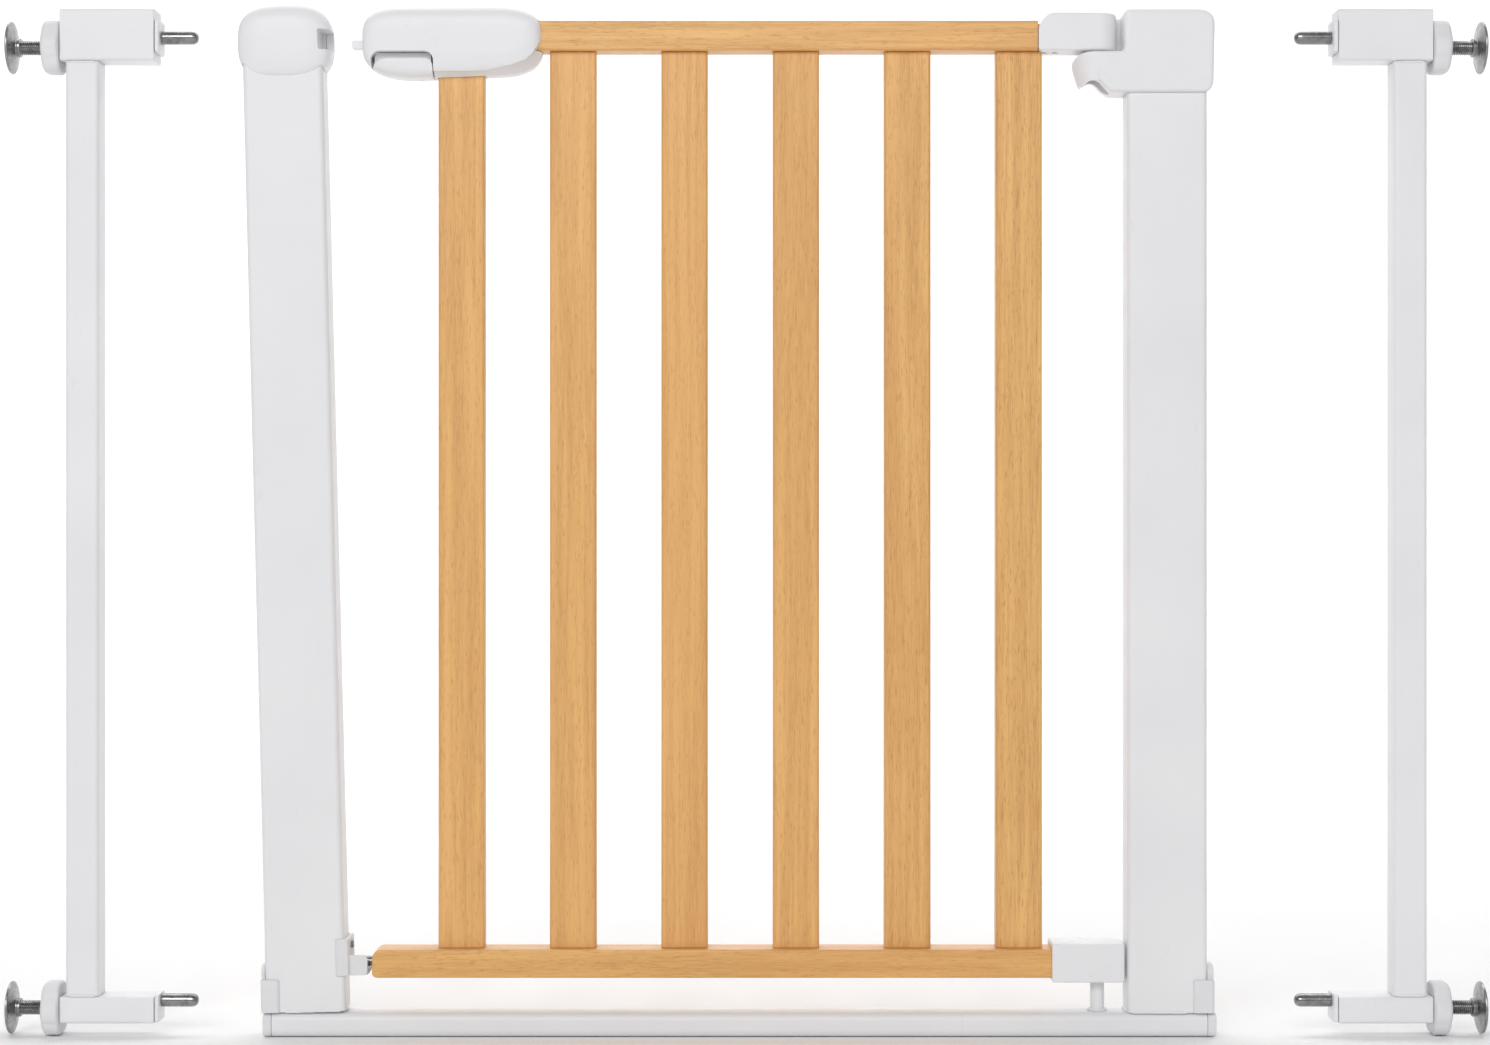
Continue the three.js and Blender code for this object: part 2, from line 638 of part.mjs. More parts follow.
function trigger() {
  const { left, right, top, corner, halfDepth } = TRIGGER;
  const window = new THREE.Shape();
  window.moveTo(left, 700);
  window.lineTo(right, 700);
  window.lineTo(right, top - corner);
  window.quadraticCurveTo(right, top, right - corner, top);
  window.lineTo(left + 14, top);
  window.quadraticCurveTo(left + 3, top - 0.5, left, top - 7);
  window.closePath();
  const body = common(
    alongY(extrude(housingOutline(0.2), 2 * halfDepth, 6, 2, 5)),
    alongY(extrude(window, 2 * halfDepth + 10)),
  );
  const slope = TRIGGER_TRAVEL / BOLT_TRAVEL;
  const fin = new THREE.Shape([
    new THREE.Vector2(FIN.left, top - 3),
    new THREE.Vector2(FIN.right, top - 3),
    new THREE.Vector2(FIN.right, FIN.top - slope * (FIN.right - FIN.left)),
    new THREE.Vector2(FIN.left, FIN.top),
  ]);
  return join(body, alongY(extrude(fin, 2 * FIN.halfDepth)), triggerLip(-1), triggerLip(1));
}

function latchBolt() {
  const { tip, shoulder, end, bottom, nose, top } = BOLT;
  const slope = TRIGGER_TRAVEL / BOLT_TRAVEL;
  // the sloped face stays this far above the trigger's fin at every point of the travel
  const faceAt = (x) => FIN.top + 0.45 - slope * (x - FIN.left);
  const notchLeft = FIN.left - BOLT_TRAVEL - 0.5;
  const outline = new THREE.Shape([
    new THREE.Vector2(tip, bottom + 1),
    new THREE.Vector2(tip + 1, bottom),
    new THREE.Vector2(notchLeft, bottom),
    new THREE.Vector2(notchLeft, faceAt(notchLeft)),
    new THREE.Vector2(FIN.left + (faceAt(FIN.left) - bottom) / slope, bottom),
    new THREE.Vector2(end, bottom),
    new THREE.Vector2(end, top),
    new THREE.Vector2(shoulder, top),
    new THREE.Vector2(shoulder, nose),
    new THREE.Vector2(tip + 1, nose),
    new THREE.Vector2(tip, nose - 1),
  ]);
  return alongY(extrude(outline, 2 * BOLT_HALF_DEPTH));
}

function doorStub() {
  const { left, right, radius, z } = STUB;
  return turned([
    [0, right],
    [radius, right],
    [radius, left + 1.5],
    [radius - 1.5, left],
    [0, left],
  ].reverse()).rotateZ(-Math.PI / 2).translate(0, 0, z);
}

function door() {
  const group = new THREE.Group();
  const springEnd = SPRING_SEAT_X - GAP;
  const springStart = BOLT.end + GAP;
  const boltSpring = alongX(spring(3, 0.5, springEnd - springStart, 6));
  const slats = Array.from({ length: SLAT_COUNT }, (_, index) => slat(index));
  const hingeScrews = HINGE_SCREW_X.map((x, i) => piece(
    `hinge_screw_${i + 1}`,
    screw(2.7, 1, 1.4, 14).rotateX(-Math.PI / 2),
    material.steel(), x, 0, COVER.bottom + 0.2,
  ));
  const shellScrews = SHELL_SCREWS.map(({ x, z }, i) => piece(
    `shell_screw_${i + 1}`, screw(3.2, 2.4, 1.5, 22.5), material.steel(), x, 14.7, z,
  ));
  group.add(
    piece('top_rail', topRail(), material.wood()),
    piece('bottom_rail', bottomRail(), material.wood()),
    ...slats,
    piece('latch_shell_front', latchShell(-1), material.gloss()),
    piece('latch_shell_rear', latchShell(1), material.gloss()),
    piece('hinge_cover', hingeCover(), material.gloss()),
    piece('lower_hinge_bracket', lowerHingeBracket(), material.gloss()),
    piece('door_stub', doorStub(), material.steel()),
    ...hingeScrews,
    ...shellScrews,
    piece('rail_screw', screw(2.9, 1.2, 1.4, 16).rotateX(-Math.PI / 2), material.steel(),
      243, 0, BRACKET.bottom + 0.2),
    piece('bolt_spring', boltSpring, material.steel(), (springEnd + springStart) / 2, 0, 749),
    piece('trigger', trigger(), material.gloss()),
    piece('latch_bolt', latchBolt(), material.gloss()),
    piece('hinge_spindle', hingeSpindle(), material.steel()),
  );
  return group;
}

function hingeSpindle() {
  const { radius, bottom, top, collarRadius } = SPINDLE;
  return turned([
    [0, bottom],
    [collarRadius, bottom],
    [collarRadius, bottom + 1.6],
    [radius, bottom + 1.6],
    [radius, top - 1],
    [radius - 1, top],
    [0, top],
  ]).rotateX(Math.PI / 2).translate(HINGE_X, 0, 0);
}

// ---------------------------------------------------------------- extension frames
// drawn for the right side, from the end plate's inner face outward, and mirrored by a half turn
function arm(bottom, top, spindleZ) {
  const inner = PLATE.thickness + GAP;
  const height = top - bottom;
  const body = alongX(extrude(roundedRectangle(ARM.depth, height, 2.5), ARM.end - inner))
    .translate((ARM.end + inner) / 2, 0, (bottom + top) / 2);
  const half = ARM.depth / 2 - TUBE_WALL;
  return cut(
    body,
    box(inner + TUBE_WALL, ARM.end - TUBE_WALL, -half, half, bottom + TUBE_WALL, top - TUBE_WALL),
    cylinderX(ROD.radius + RUNNING_GAP, ARM.end - 5, ARM.end + 5, 0, spindleZ),
  );
}

function endPlate(height) {
  return alongX(extrude(roundedRectangle(PLATE.depth, height, 2), PLATE.thickness));
}

// a plug pin: welded to the plate, with a bullet nose
function plugPin() {
  const r = PIN_RADIUS;
  return turned([
    [0, -PIN_LENGTH],
    [r * 0.62, -PIN_LENGTH + 0.9],
    [r * 0.92, -PIN_LENGTH + 2.8],
    [r, -PIN_LENGTH + 5],
    [r, -GAP],
    [0, -GAP],
  ]).rotateZ(-Math.PI / 2);
}

function handwheel() {
  const { inner, outer, radius, lobes, dip } = HANDWHEEL;
  const outline = new THREE.Shape();
  const steps = lobes * 6;
  for (let i = 0; i < steps; i += 1) {
    const angle = (i / steps) * 2 * Math.PI;
    const r = radius - dip * (1 - Math.cos(lobes * angle)) / 2;
    const [y, z] = [r * Math.cos(angle), r * Math.sin(angle)];
    if (i === 0) outline.moveTo(y, z);
    else outline.lineTo(y, z);
  }
  outline.closePath();
  return cut(
    alongX(extrude(outline, outer - inner, 3)).translate((outer + inner) / 2, 0, 0),
    cylinderX(ROD.radius + RUNNING_GAP, 0, 200, 0, 0),
  );
}

// the pressure spindle: a threaded rod with a hub and a wide disc that presses on the wall
function pressureSpindle() {
  const { radius, face, rim, cone, hubRadius, hub } = DISC;
  return turned([
    [0, ROD.inner],
    [ROD.radius - 1, ROD.inner],
    [ROD.radius, ROD.inner + 1],
    [ROD.radius, hub],
    [hubRadius, hub],
    [hubRadius, face - rim - cone + 1.4],
    [radius - 5, face - rim - 0.6],
    [radius, face - rim + 0.4],
    [radius, face - 0.6],
    [radius - 0.6, face],
    [0, face],
  ], 20).rotateZ(-Math.PI / 2);
}

function extension(side) {
  const group = new THREE.Group();
  const name = side < 0 ? 'left' : 'right';
  const lowerBottom = LOWER_SPINDLE_Z - ARM.lowerHeight / 2;
  const lowerTop = LOWER_SPINDLE_Z + ARM.lowerHeight / 2;
  const postBottom = lowerTop + GAP;
  const postTop = ARM.upperBottom - GAP;
  const { inner, outer, depth } = SIDE_POST;
  const sidePost = tube(outer - inner, depth, 3, postTop - postBottom)
    .translate((inner + outer) / 2, 0, (postTop + postBottom) / 2);
  const plateX = PLATE.thickness / 2;
  group.add(
    piece(`${name}_side_post`, sidePost, material.steelPaint()),
    piece(`${name}_upper_arm`, arm(ARM.upperBottom, ARM.upperTop, UPPER_SPINDLE_Z),
      material.steelPaint()),
    piece(`${name}_lower_arm`, arm(lowerBottom, lowerTop, LOWER_SPINDLE_Z), material.steelPaint()),
    piece(`${name}_upper_plate`, endPlate(PLATE.upperHeight), material.steelPaint(),
      plateX, 0, UPPER_PIN_Z),
    piece(`${name}_lower_plate`, endPlate(PLATE.lowerHeight), material.steelPaint(),
      plateX, 0, LOWER_PLATE_Z),
    piece(`${name}_upper_pin`, plugPin(), material.steel(), 0, 0, UPPER_PIN_Z),
    piece(`${name}_lower_pin`, plugPin(), material.steel(), 0, 0, LOWER_PIN_Z),
    piece(`${name}_upper_handwheel`, handwheel(), material.matt(), 0, 0, UPPER_SPINDLE_Z),
    piece(`${name}_lower_handwheel`, handwheel(), material.matt(), 0, 0, LOWER_SPINDLE_Z),
    piece(`${name}_upper_spindle`, pressureSpindle(), material.steel(), 0, 0, UPPER_SPINDLE_Z),
    piece(`${name}_lower_spindle`, pressureSpindle(), material.steel(), 0, 0, LOWER_SPINDLE_Z),
  );
  group.position.x = side < 0 ? LEFT_EXTENSION_X : RIGHT_EXTENSION_X;
  group.rotation.z = side < 0 ? Math.PI : 0;
  return group;
}

// ---------------------------------------------------------------- assembly
const gate = new THREE.Group();
gate.add(baseFrame(), leftFrame(), door(), extension(-1), extension(1));

export default gate;
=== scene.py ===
"""The looks of a pressure-fit safety gate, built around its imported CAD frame.

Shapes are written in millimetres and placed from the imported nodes' own boxes and joints.
"""
import json
import math

import bmesh
import bpy
from mathutils import Matrix, Vector, noise


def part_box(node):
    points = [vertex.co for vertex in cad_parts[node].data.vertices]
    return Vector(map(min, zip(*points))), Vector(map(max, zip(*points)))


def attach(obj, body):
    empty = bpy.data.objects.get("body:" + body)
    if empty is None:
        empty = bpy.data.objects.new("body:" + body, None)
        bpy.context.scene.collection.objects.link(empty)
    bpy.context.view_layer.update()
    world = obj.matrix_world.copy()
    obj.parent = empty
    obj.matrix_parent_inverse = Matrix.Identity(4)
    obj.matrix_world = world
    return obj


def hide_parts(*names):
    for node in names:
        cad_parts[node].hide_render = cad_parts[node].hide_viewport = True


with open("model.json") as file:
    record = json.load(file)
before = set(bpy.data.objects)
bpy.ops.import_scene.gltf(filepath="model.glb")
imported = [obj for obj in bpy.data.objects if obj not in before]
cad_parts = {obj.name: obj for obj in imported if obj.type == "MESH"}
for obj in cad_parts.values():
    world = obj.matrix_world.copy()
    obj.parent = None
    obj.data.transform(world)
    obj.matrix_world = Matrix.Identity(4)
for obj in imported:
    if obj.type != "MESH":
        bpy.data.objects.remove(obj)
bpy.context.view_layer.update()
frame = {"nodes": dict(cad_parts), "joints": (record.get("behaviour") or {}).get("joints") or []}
NODES = frame["nodes"]
JOINTS = {j["name"]: j for j in frame["joints"]}
MM = 0.001
HINGE_X = 270


def corners(node):
    """The lowest and highest corner of a CAD node, in millimetres."""
    low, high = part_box(node)
    return Vector(low) / MM, Vector(high) / MM


# ------------------------------------------------------------------ materials
class Look:
    """A Principled material, with short ways to add texture nodes to it."""

    def __init__(self, name, **constants):
        self.material = bpy.data.materials.new(name)
        self.material.use_nodes = True
        self.tree = self.material.node_tree
        self.shader = self.tree.nodes["Principled BSDF"]
        self.coords = self.node("ShaderNodeTexCoord").outputs["Object"]
        for socket, value in constants.items():
            self.shader.inputs[socket.replace("_", " ")].default_value = value

    def node(self, kind, **settings):
        made = self.tree.nodes.new(kind)
        for key, value in settings.items():
            setattr(made, key, value)
        return made

    def link(self, source, target):
        self.tree.links.new(source, target)

    def scaled(self, stretch):
        mapping = self.node("ShaderNodeMapping")
        mapping.inputs["Scale"].default_value = stretch
        self.link(self.coords, mapping.inputs["Vector"])
        return mapping.outputs["Vector"]

    def noise(self, scale, detail=2.0, distortion=0.0, stretch=None):
        made = self.node("ShaderNodeTexNoise")
        made.inputs["Scale"].default_value = scale
        made.inputs["Detail"].default_value = detail
        made.inputs["Distortion"].default_value = distortion
        self.link(self.scaled(stretch) if stretch else self.coords, made.inputs["Vector"])
        return made.outputs["Fac"]

    def spread(self, value, low, high, start=0.3, end=0.7):
        made = self.node("ShaderNodeMapRange")
        for key, number in (("From Min", start), ("From Max", end), ("To Min", low), ("To Max", high)):
            made.inputs[key].default_value = number
        self.link(value, made.inputs["Value"])
        return made.outputs["Result"]

    def mix(self, factor, first, second, blend="MIX"):
        made = self.node("ShaderNodeMix", data_type="RGBA", blend_type=blend)
        self.link(factor, made.inputs["Factor"])
        for socket, colour in ((made.inputs[6], first), (made.inputs[7], second)):
            if isinstance(colour, bpy.types.NodeSocket):
                self.link(colour, socket)
            else:
                socket.default_value = (*colour, 1.0)
        return made.outputs[2]

    def bump(self, height, distance, strength=1.0, below=None):
        made = self.node("ShaderNodeBump")
        made.inputs["Distance"].default_value = distance
        made.inputs["Strength"].default_value = strength
        self.link(height, made.inputs["Height"])
        if below:
            self.link(below, made.inputs["Normal"])
        return made.outputs["Normal"]

    def wear(self, colour=None, roughness=None, normal=None):
        for socket, source in (("Base Color", colour), ("Roughness", roughness), ("Normal", normal)):
            if source:
                self.link(source, self.shader.inputs[socket])
        return self.material


def powder_coat():
    """White powder coat: fine orange peel with a slow tone drift and faint handling marks."""
    look = Look("powder_coat", Specular_IOR_Level=0.28, Coat_Weight=0.08, Coat_Roughness=0.15)
    tone = look.mix(look.spread(look.noise(9, 3), 0, 1), (0.80, 0.80, 0.815), (0.84, 0.84, 0.85))
    scuff = look.spread(look.noise(140, 6, 1.2, (1, 1, 0.25)), 0, 0.5, 0.66, 0.78)
    peel = look.bump(look.noise(620, 2), 0.00005)
    return look.wear(
        look.mix(scuff, tone, (0.74, 0.74, 0.75)),
        look.spread(look.noise(60, 4), 0.30, 0.42),
        look.bump(look.noise(45, 2), 0.00012, below=peel),
    )


def moulded(name, light, dark, rough, texture, depth):
    """White moulded plastic: a fine mould texture, flow marks and faint scuffs."""
    look = Look(name, Specular_IOR_Level=0.2)
    tone = look.mix(look.spread(look.noise(14, 3, 0.8), 0, 1), dark, light)
    scuff = look.spread(look.noise(210, 5, 0.6), 0, 0.16, 0.68, 0.80)
    grain = look.bump(look.noise(texture, 2), depth)
    return look.wear(
        look.mix(scuff, tone, tuple(c * 0.96 for c in dark)),
        look.spread(look.noise(80, 3), rough - 0.03, rough + 0.05),
        look.bump(look.noise(38, 1, 0.3), 0.000006, below=grain),
    )


def plated_steel(name, light, dark, rough, grain_stretch):
    """Zinc-plated steel: cloudy plating, fine tool marks and small dull spots."""
    look = Look(name, Metallic=1.0)
    cloud = look.mix(look.spread(look.noise(120, 4, 0.7), 0, 1), dark, light)
    spots = look.spread(look.noise(900, 3), 0, 0.6, 0.66, 0.74)
    return look.wear(
        look.mix(spots, cloud, tuple(c * 0.55 for c in dark)),
        look.spread(look.noise(260, 4), rough - 0.07, rough + 0.12),
        look.bump(look.noise(1500, 2, 0, grain_stretch), 0.00003),
    )


def beech(name, axis):
    """Lacquered beech with its grain along an axis; each stave has its own tint."""
    look = Look(name, Coat_Weight=0.18, Coat_Roughness=0.22)

    def along(amount):
        return tuple(amount if i == axis else 1.0 for i in range(3))

    bands = look.noise(52, 3, 0.9, along(0.045))
    streaks = look.noise(260, 4, 0.5, along(0.025))
    fibres = look.noise(1500, 3, 0, along(0.03))
    flecks = look.noise(1050, 1, 0, along(0.13))
    base = look.mix(look.spread(bands, 0, 1, 0.36, 0.64), (0.655, 0.330, 0.096), (0.845, 0.472, 0.155))
    base = look.mix(look.spread(streaks, 0, 0.75, 0.40, 0.64), base, (0.560, 0.264, 0.072))
    base = look.mix(look.spread(fibres, 0, 0.5, 0.35, 0.65), base, (0.900, 0.570, 0.212))
    base = look.mix(look.spread(flecks, 0, 0.45, 0.60, 0.70), base, (0.448, 0.203, 0.055))
    # one tint for each stave: whole steps of the slat pitch across the door
    split = look.node("ShaderNodeSeparateXYZ")
    look.link(look.coords, split.inputs["Vector"])
    step = look.node("ShaderNodeMath", operation="SNAP")
    step.inputs[1].default_value = 0.084 if axis == 2 else 10.0
    look.link(split.outputs["X"], step.inputs[0])
    tint = look.node("ShaderNodeTexWhiteNoise", noise_dimensions="1D")
    look.link(step.outputs["Value"], tint.inputs["W"])
    base = look.mix(look.spread(tint.outputs["Value"], 0, 0.42, 0, 1), base, (0.784, 0.380, 0.120))
    pores = look.bump(flecks, 0.00004)
    return look.wear(
        base,
        look.spread(streaks, 0.36, 0.50),
        look.bump(fibres, 0.00005, below=pores),
    )


PAINT = powder_coat()
GLOSS = moulded("satin_white_plastic", (0.83, 0.83, 0.845), (0.815, 0.815, 0.83), 0.30, 1300, 0.000005)
MATT = moulded("textured_white_plastic", (0.80, 0.80, 0.81), (0.75, 0.75, 0.765), 0.46, 1700, 0.00002)
ZINC = plated_steel("zinc_plated_steel", (0.42, 0.42, 0.42), (0.26, 0.26, 0.26), 0.30, (1, 1, 1))
TURNED = plated_steel("turned_steel", (0.36, 0.36, 0.36), (0.20, 0.20, 0.20), 0.20, (2.2, 0.4, 0.4))
UPRIGHT_BEECH = beech("beech_upright_grain", 2)
LEVEL_BEECH = beech("beech_level_grain", 0)


# ------------------------------------------------------------------ outlines
def rounded(width, height, radius, steps=7):
    """A rounded rectangle about the origin, anticlockwise."""
    radius = max(min(radius, width / 2 - 0.01, height / 2 - 0.01), 0.05)
    a, b = width / 2 - radius, height / 2 - radius
    return [
        Vector((cx + radius * math.cos(t), cy + radius * math.sin(t)))
        for cx, cy, turn in ((a, b, 0), (-a, b, 1), (-a, -b, 2), (a, -b, 3))
        for t in (math.pi / 2 * (turn + k / steps) for k in range(steps + 1))
    ]


def traced(start, *moves, steps=9):
    """An outline from straight moves (x, z) and curved moves (control x, z, end x, z)."""
    points = [Vector(start)]
    for move in moves:
        here = points[-1]
        if len(move) == 2:
            points.append(Vector(move))
            continue
        bend, end = Vector(move[:2]), Vector(move[2:])
        for k in range(1, steps + 1):
            t = k / steps
            points.append(here * (1 - t) ** 2 + bend * 2 * t * (1 - t) + end * t**2)
    if (points[0] - points[-1]).length < 0.01:
        points.pop()
    area = sum(a.x * b.y - b.x * a.y for a, b in zip(points, points[1:] + points[:1]))
    return points if area > 0 else points[::-1]


def inset(points, distance, weight=None):
    """The outline moved inward; weight(normal) makes the distance depend on direction."""
    moved = []
    for before, here, after in zip(points[-1:] + points[:-1], points, points[1:] + points[:1]):
        first, second = (here - before).normalized(), (after - here).normalized()
        inward = Vector((-(first.y + second.y), first.x + second.x)).normalized()
        corner = max(inward.dot(Vector((-first.y, first.x))), 0.6)
        moved.append(here + inward * (distance * (weight(-inward) if weight else 1.0) / corner))
    return moved


def flank(outline, depth, weight=None):
    """The outline moved inward, and past 7 mm drawn to its middle line, so it never crosses itself."""
    edge = inset(outline, min(depth, 7.0), weight)
    if depth <= 7:
        return edge
    low, high = min(p.y for p in edge), max(p.y for p in edge)
    reach, middle = (high - low) / 2, (high + low) / 2
    start, end = min(p.x for p in edge) + reach, max(p.x for p in edge) - reach
    share = (depth - 7) / reach
    return [p.lerp(Vector((min(max(p.x, start), end), middle)), share) for p in edge]


# ------------------------------------------------------------------ meshes
def along_x(p, w):
    return Vector((w, p.x, p.y))


def along_y(p, w):
    return Vector((p.x, w, p.y))


def along_z(p, w):
    return Vector((p.x, p.y, w))


def mesh_object(name, points, faces, matrix=None):
    matrix = matrix or Matrix()
    mesh = bpy.data.meshes.new(name)
    mesh.from_pydata([(matrix @ Vector(p)) * MM for p in points], [], faces)
    shaped = bmesh.new()
    shaped.from_mesh(mesh)
    bmesh.ops.remove_doubles(shaped, verts=shaped.verts, dist=1e-6)
    bmesh.ops.recalc_face_normals(shaped, faces=shaped.faces)
    shaped.to_mesh(mesh)
    shaped.free()
    made = bpy.data.objects.new(name, mesh)
    bpy.context.scene.collection.objects.link(made)
    return made


def loft(name, rings, matrix=None):
    count = len(rings[0])
    faces = [
        (r * count + i, r * count + (i + 1) % count, (r + 1) * count + (i + 1) % count, (r + 1) * count + i)
        for r in range(len(rings) - 1)
        for i in range(count)
    ]
    faces.append(tuple(range(count))[::-1])
    faces.append(tuple((len(rings) - 1) * count + i for i in range(count)))
    return mesh_object(name, [p for ring in rings for p in ring], faces, matrix)


def rim(size, steps=4):
    """Pairs of (inset, distance from the end) along a rounded rim."""
    return [
        (size * (1 - math.sin(t)), size * (1 - math.cos(t)))
        for t in (math.pi / 2 * k / steps for k in range(steps + 1))
    ]


def prism(name, outline, low, high, place, edge=0.0, matrix=None, steps=4):
    """An outline drawn out between two levels, with rounded rims; outline(d) is it inset by d."""
    edges = rim(edge, steps) if edge else [(0.0, 0.0)]
    levels = [(d, low + w) for d, w in edges] + [(d, high - w) for d, w in reversed(edges)]
    return loft(name, [[place(p, w) for p in outline(d)] for d, w in levels], matrix)


def bar(name, width, height, radius, low, high, place, centre=(0, 0), edge=0.8, matrix=None):
    """A rounded bar or tube drawn out between two levels."""
    middle = Vector(centre)

    def outline(d):
        return [p + middle for p in rounded(width - 2 * d, height - 2 * d, radius - d)]

    return prism(name, outline, low, high, place, edge, matrix)


def block(x0, x1, y0, y1, z0, z1, matrix=None):
    """A cutting tool."""
    points = [(x, y, z) for x in (x0, x1) for y in (y0, y1) for z in (z0, z1)]
    faces = [(0, 1, 3, 2), (4, 6, 7, 5), (0, 4, 5, 1), (2, 3, 7, 6), (0, 2, 6, 4), (1, 5, 7, 3)]
    return mesh_object("tool", points, faces, matrix)


def lathe(name, profile, place, sides=48, matrix=None):
    """A turned body from (radius, level) points."""
    rings = [
        [place(Vector((r * math.cos(a), r * math.sin(a))), level) for a in
         (2 * math.pi * i / sides for i in range(sides))]
        for r, level in ((max(r, 0.02), level) for r, level in profile)
    ]
    return loft(name, rings, matrix)


def shifted(place, centre):
    middle = Vector(centre)
    return lambda p, w: place(p + middle, w)


def hole(radius, low, high, place, centre=(0, 0), matrix=None, sides=40):
    return lathe("tool", [(radius, low), (radius, high)], shifted(place, centre), sides, matrix)


def carve(target, *tools, operation="DIFFERENCE"):
    for tool in tools:
        step = target.modifiers.new("carve", "BOOLEAN")
        step.operation, step.solver, step.object = operation, "EXACT", tool
    graph = bpy.context.evaluated_depsgraph_get()
    mesh = bpy.data.meshes.new_from_object(target.evaluated_get(graph))
    target.modifiers.clear()
    target.data = mesh
    for tool in tools:
        bpy.data.objects.remove(tool)
    return target


def finish_piece(made, body, material, *hides, angle=38):
    made.data.materials.clear()
    made.data.materials.append(material)
    for face in made.data.polygons:
        face.use_smooth = True
    made.data.set_sharp_from_angle(angle=math.radians(angle))
    shading = made.modifiers.new("even_shading", "WEIGHTED_NORMAL")
    shading.keep_sharp = True
    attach(made, body)
    if hides:
        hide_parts(*hides)
    return made


def weld(name, path, radius, body, seed):
    """A painted weld bead along a path of points: overlapping ripples with uneven width."""
    points = [Vector(p) for p in path]
    dense = []
    for a, b in zip(points, points[1:]):
        count = max(int((b - a).length / 0.55), 2)
        dense += [a.lerp(b, k / count) for k in range(count)]
    dense.append(points[-1])
    rings, travelled = [], 0.0
    total = sum((b - a).length for a, b in zip(dense, dense[1:]))
    for i, here in enumerate(dense):
        before, after = dense[max(i - 1, 0)], dense[min(i + 1, len(dense) - 1)]
        ahead = (after - before).normalized()
        if i:
            travelled += (here - dense[i - 1]).length
        side = ahead.cross(Vector((0, 0, 1)))
        side = side.normalized() if side.length > 0.1 else Vector((0, 1, 0))
        up = side.cross(ahead).normalized()
        ripple = 0.86 + 0.14 * abs(math.sin(math.pi * travelled / 2.3))
        uneven = 1.0 + 0.22 * noise.noise(Vector((travelled * 0.16, seed, 0)))
        taper = min(1.0, math.sqrt((min(travelled, total - travelled) + 0.15) / 2.0))
        size = radius * ripple * uneven * taper
        rings.append([
            here + (side * math.cos(t) + up * math.sin(t)) * size
            for t in (2 * math.pi * k / 10 for k in range(10))
        ])
    return finish_piece(loft(name, rings), body, PAINT, angle=70)


def screw_head(name, node, body, upward, axis):
    """A pan-head screw with a cross recess, in the place of its CAD node."""
    low, high = corners(node)
    middle = (low + high) / 2
    place = (along_x, along_y, along_z)[axis]
    rest = [middle[i] for i in range(3) if i != axis]
    top, bottom = (high[axis], low[axis]) if upward else (low[axis], high[axis])
    turn = 1 if upward else -1
    across = max(high[i] - low[i] for i in range(3) if i != axis) / 2
    head = min(2.0, abs(top - bottom) * 0.14)
    centred = shifted(place, rest)
    profile = [(0, bottom), (across * 0.3, bottom), (across * 0.48, bottom + turn * 1.6),
               (across * 0.48, top - turn * head), (across, top - turn * head),
               (across, top - turn * head * 0.45), (across * 0.86, top - turn * head * 0.12),
               (across * 0.6, top), (0, top)]
    made = lathe(name, profile, centred, 32)
    slots = []
    for w, h in ((across * 1.15, 0.55), (0.55, across * 1.15)):
        depth = turn * head * 0.75
        levels = sorted((top - depth, top + turn))
        slots.append(prism("tool", lambda d, w=w, h=h: rounded(w, h, 0.1, 2), *levels, centred))
    carve(made, *slots)
    return finish_piece(made, body, ZINC, node)


# ------------------------------------------------------------------ base frame
bar_low, bar_high = corners("base_bar")
BAR_TOP = bar_high.z
BAR_DEPTH = bar_high.y - bar_low.y
finish_piece(
    bar("floor_bar", BAR_DEPTH, BAR_TOP, 6.0, bar_low.x, bar_high.x, along_x, (0, BAR_TOP / 2), 0.3),
    "base_frame", PAINT, "base_bar",
)
for side, node in ((-1, "base_plug_left"), (1, "base_plug_right")):
    low, high = corners(node)
    outer, inner = (low.x, low.x + 6.5) if side < 0 else (high.x, high.x - 6.5)
    rings = [
        [along_x(p + Vector((0, BAR_TOP / 2)), outer - side * w) for p in
         rounded(BAR_DEPTH - 2 * d, BAR_TOP - 2 * d, 6 - d)]
        for d, w in ((1.3, 0.0), (0.7, 0.12), (0.3, 0.45), (0.08, 0.9), (0.0, 1.4), (0.0, 6.2), (0.25, 6.5))
    ]
    finish_piece(loft(f"bar_end_{'left' if side < 0 else 'right'}", rings), "base_frame", MATT, node)

post_low, post_high = corners("right_post")
POST_X = (post_low.x + post_high.x) / 2
POST_WIDTH = post_high.x - post_low.x
POST_DEPTH = post_high.y - post_low.y
pin_low, pin_high = corners("right_upper_pin")
UPPER_PIN_Z = (pin_low.z + pin_high.z) / 2
low_pin = corners("right_lower_pin")
LOWER_PIN_Z = (low_pin[0].z + low_pin[1].z) / 2
SOCKET = 5.9

made = bar("hinge_post", POST_WIDTH, POST_DEPTH, 4, post_low.z, post_high.z, along_z, (POST_X, 0), 0.4)
for pin_z in (UPPER_PIN_Z, LOWER_PIN_Z):
    carve(made, hole(SOCKET, post_high.x - 34, post_high.x + 6, along_x, (0, pin_z)))
finish_piece(made, "base_frame", PAINT, "right_post")

foot = BAR_TOP + 0.9
for n, (x0, x1, y) in enumerate((
    (post_low.x + 3, post_high.x - 14, post_low.y + 0.4),
    (post_low.x + 3, post_high.x - 14, post_high.y - 0.4),
)):
    weld(f"hinge_post_weld_{n + 1}", [(x0, y, foot), (x1, y, foot)], 1.25, "base_frame", n + 3.5)
weld("hinge_post_weld_3", [(post_low.x - 0.2, -9, foot), (post_low.x - 0.2, 9, foot)], 1.4, "base_frame", 7.1)

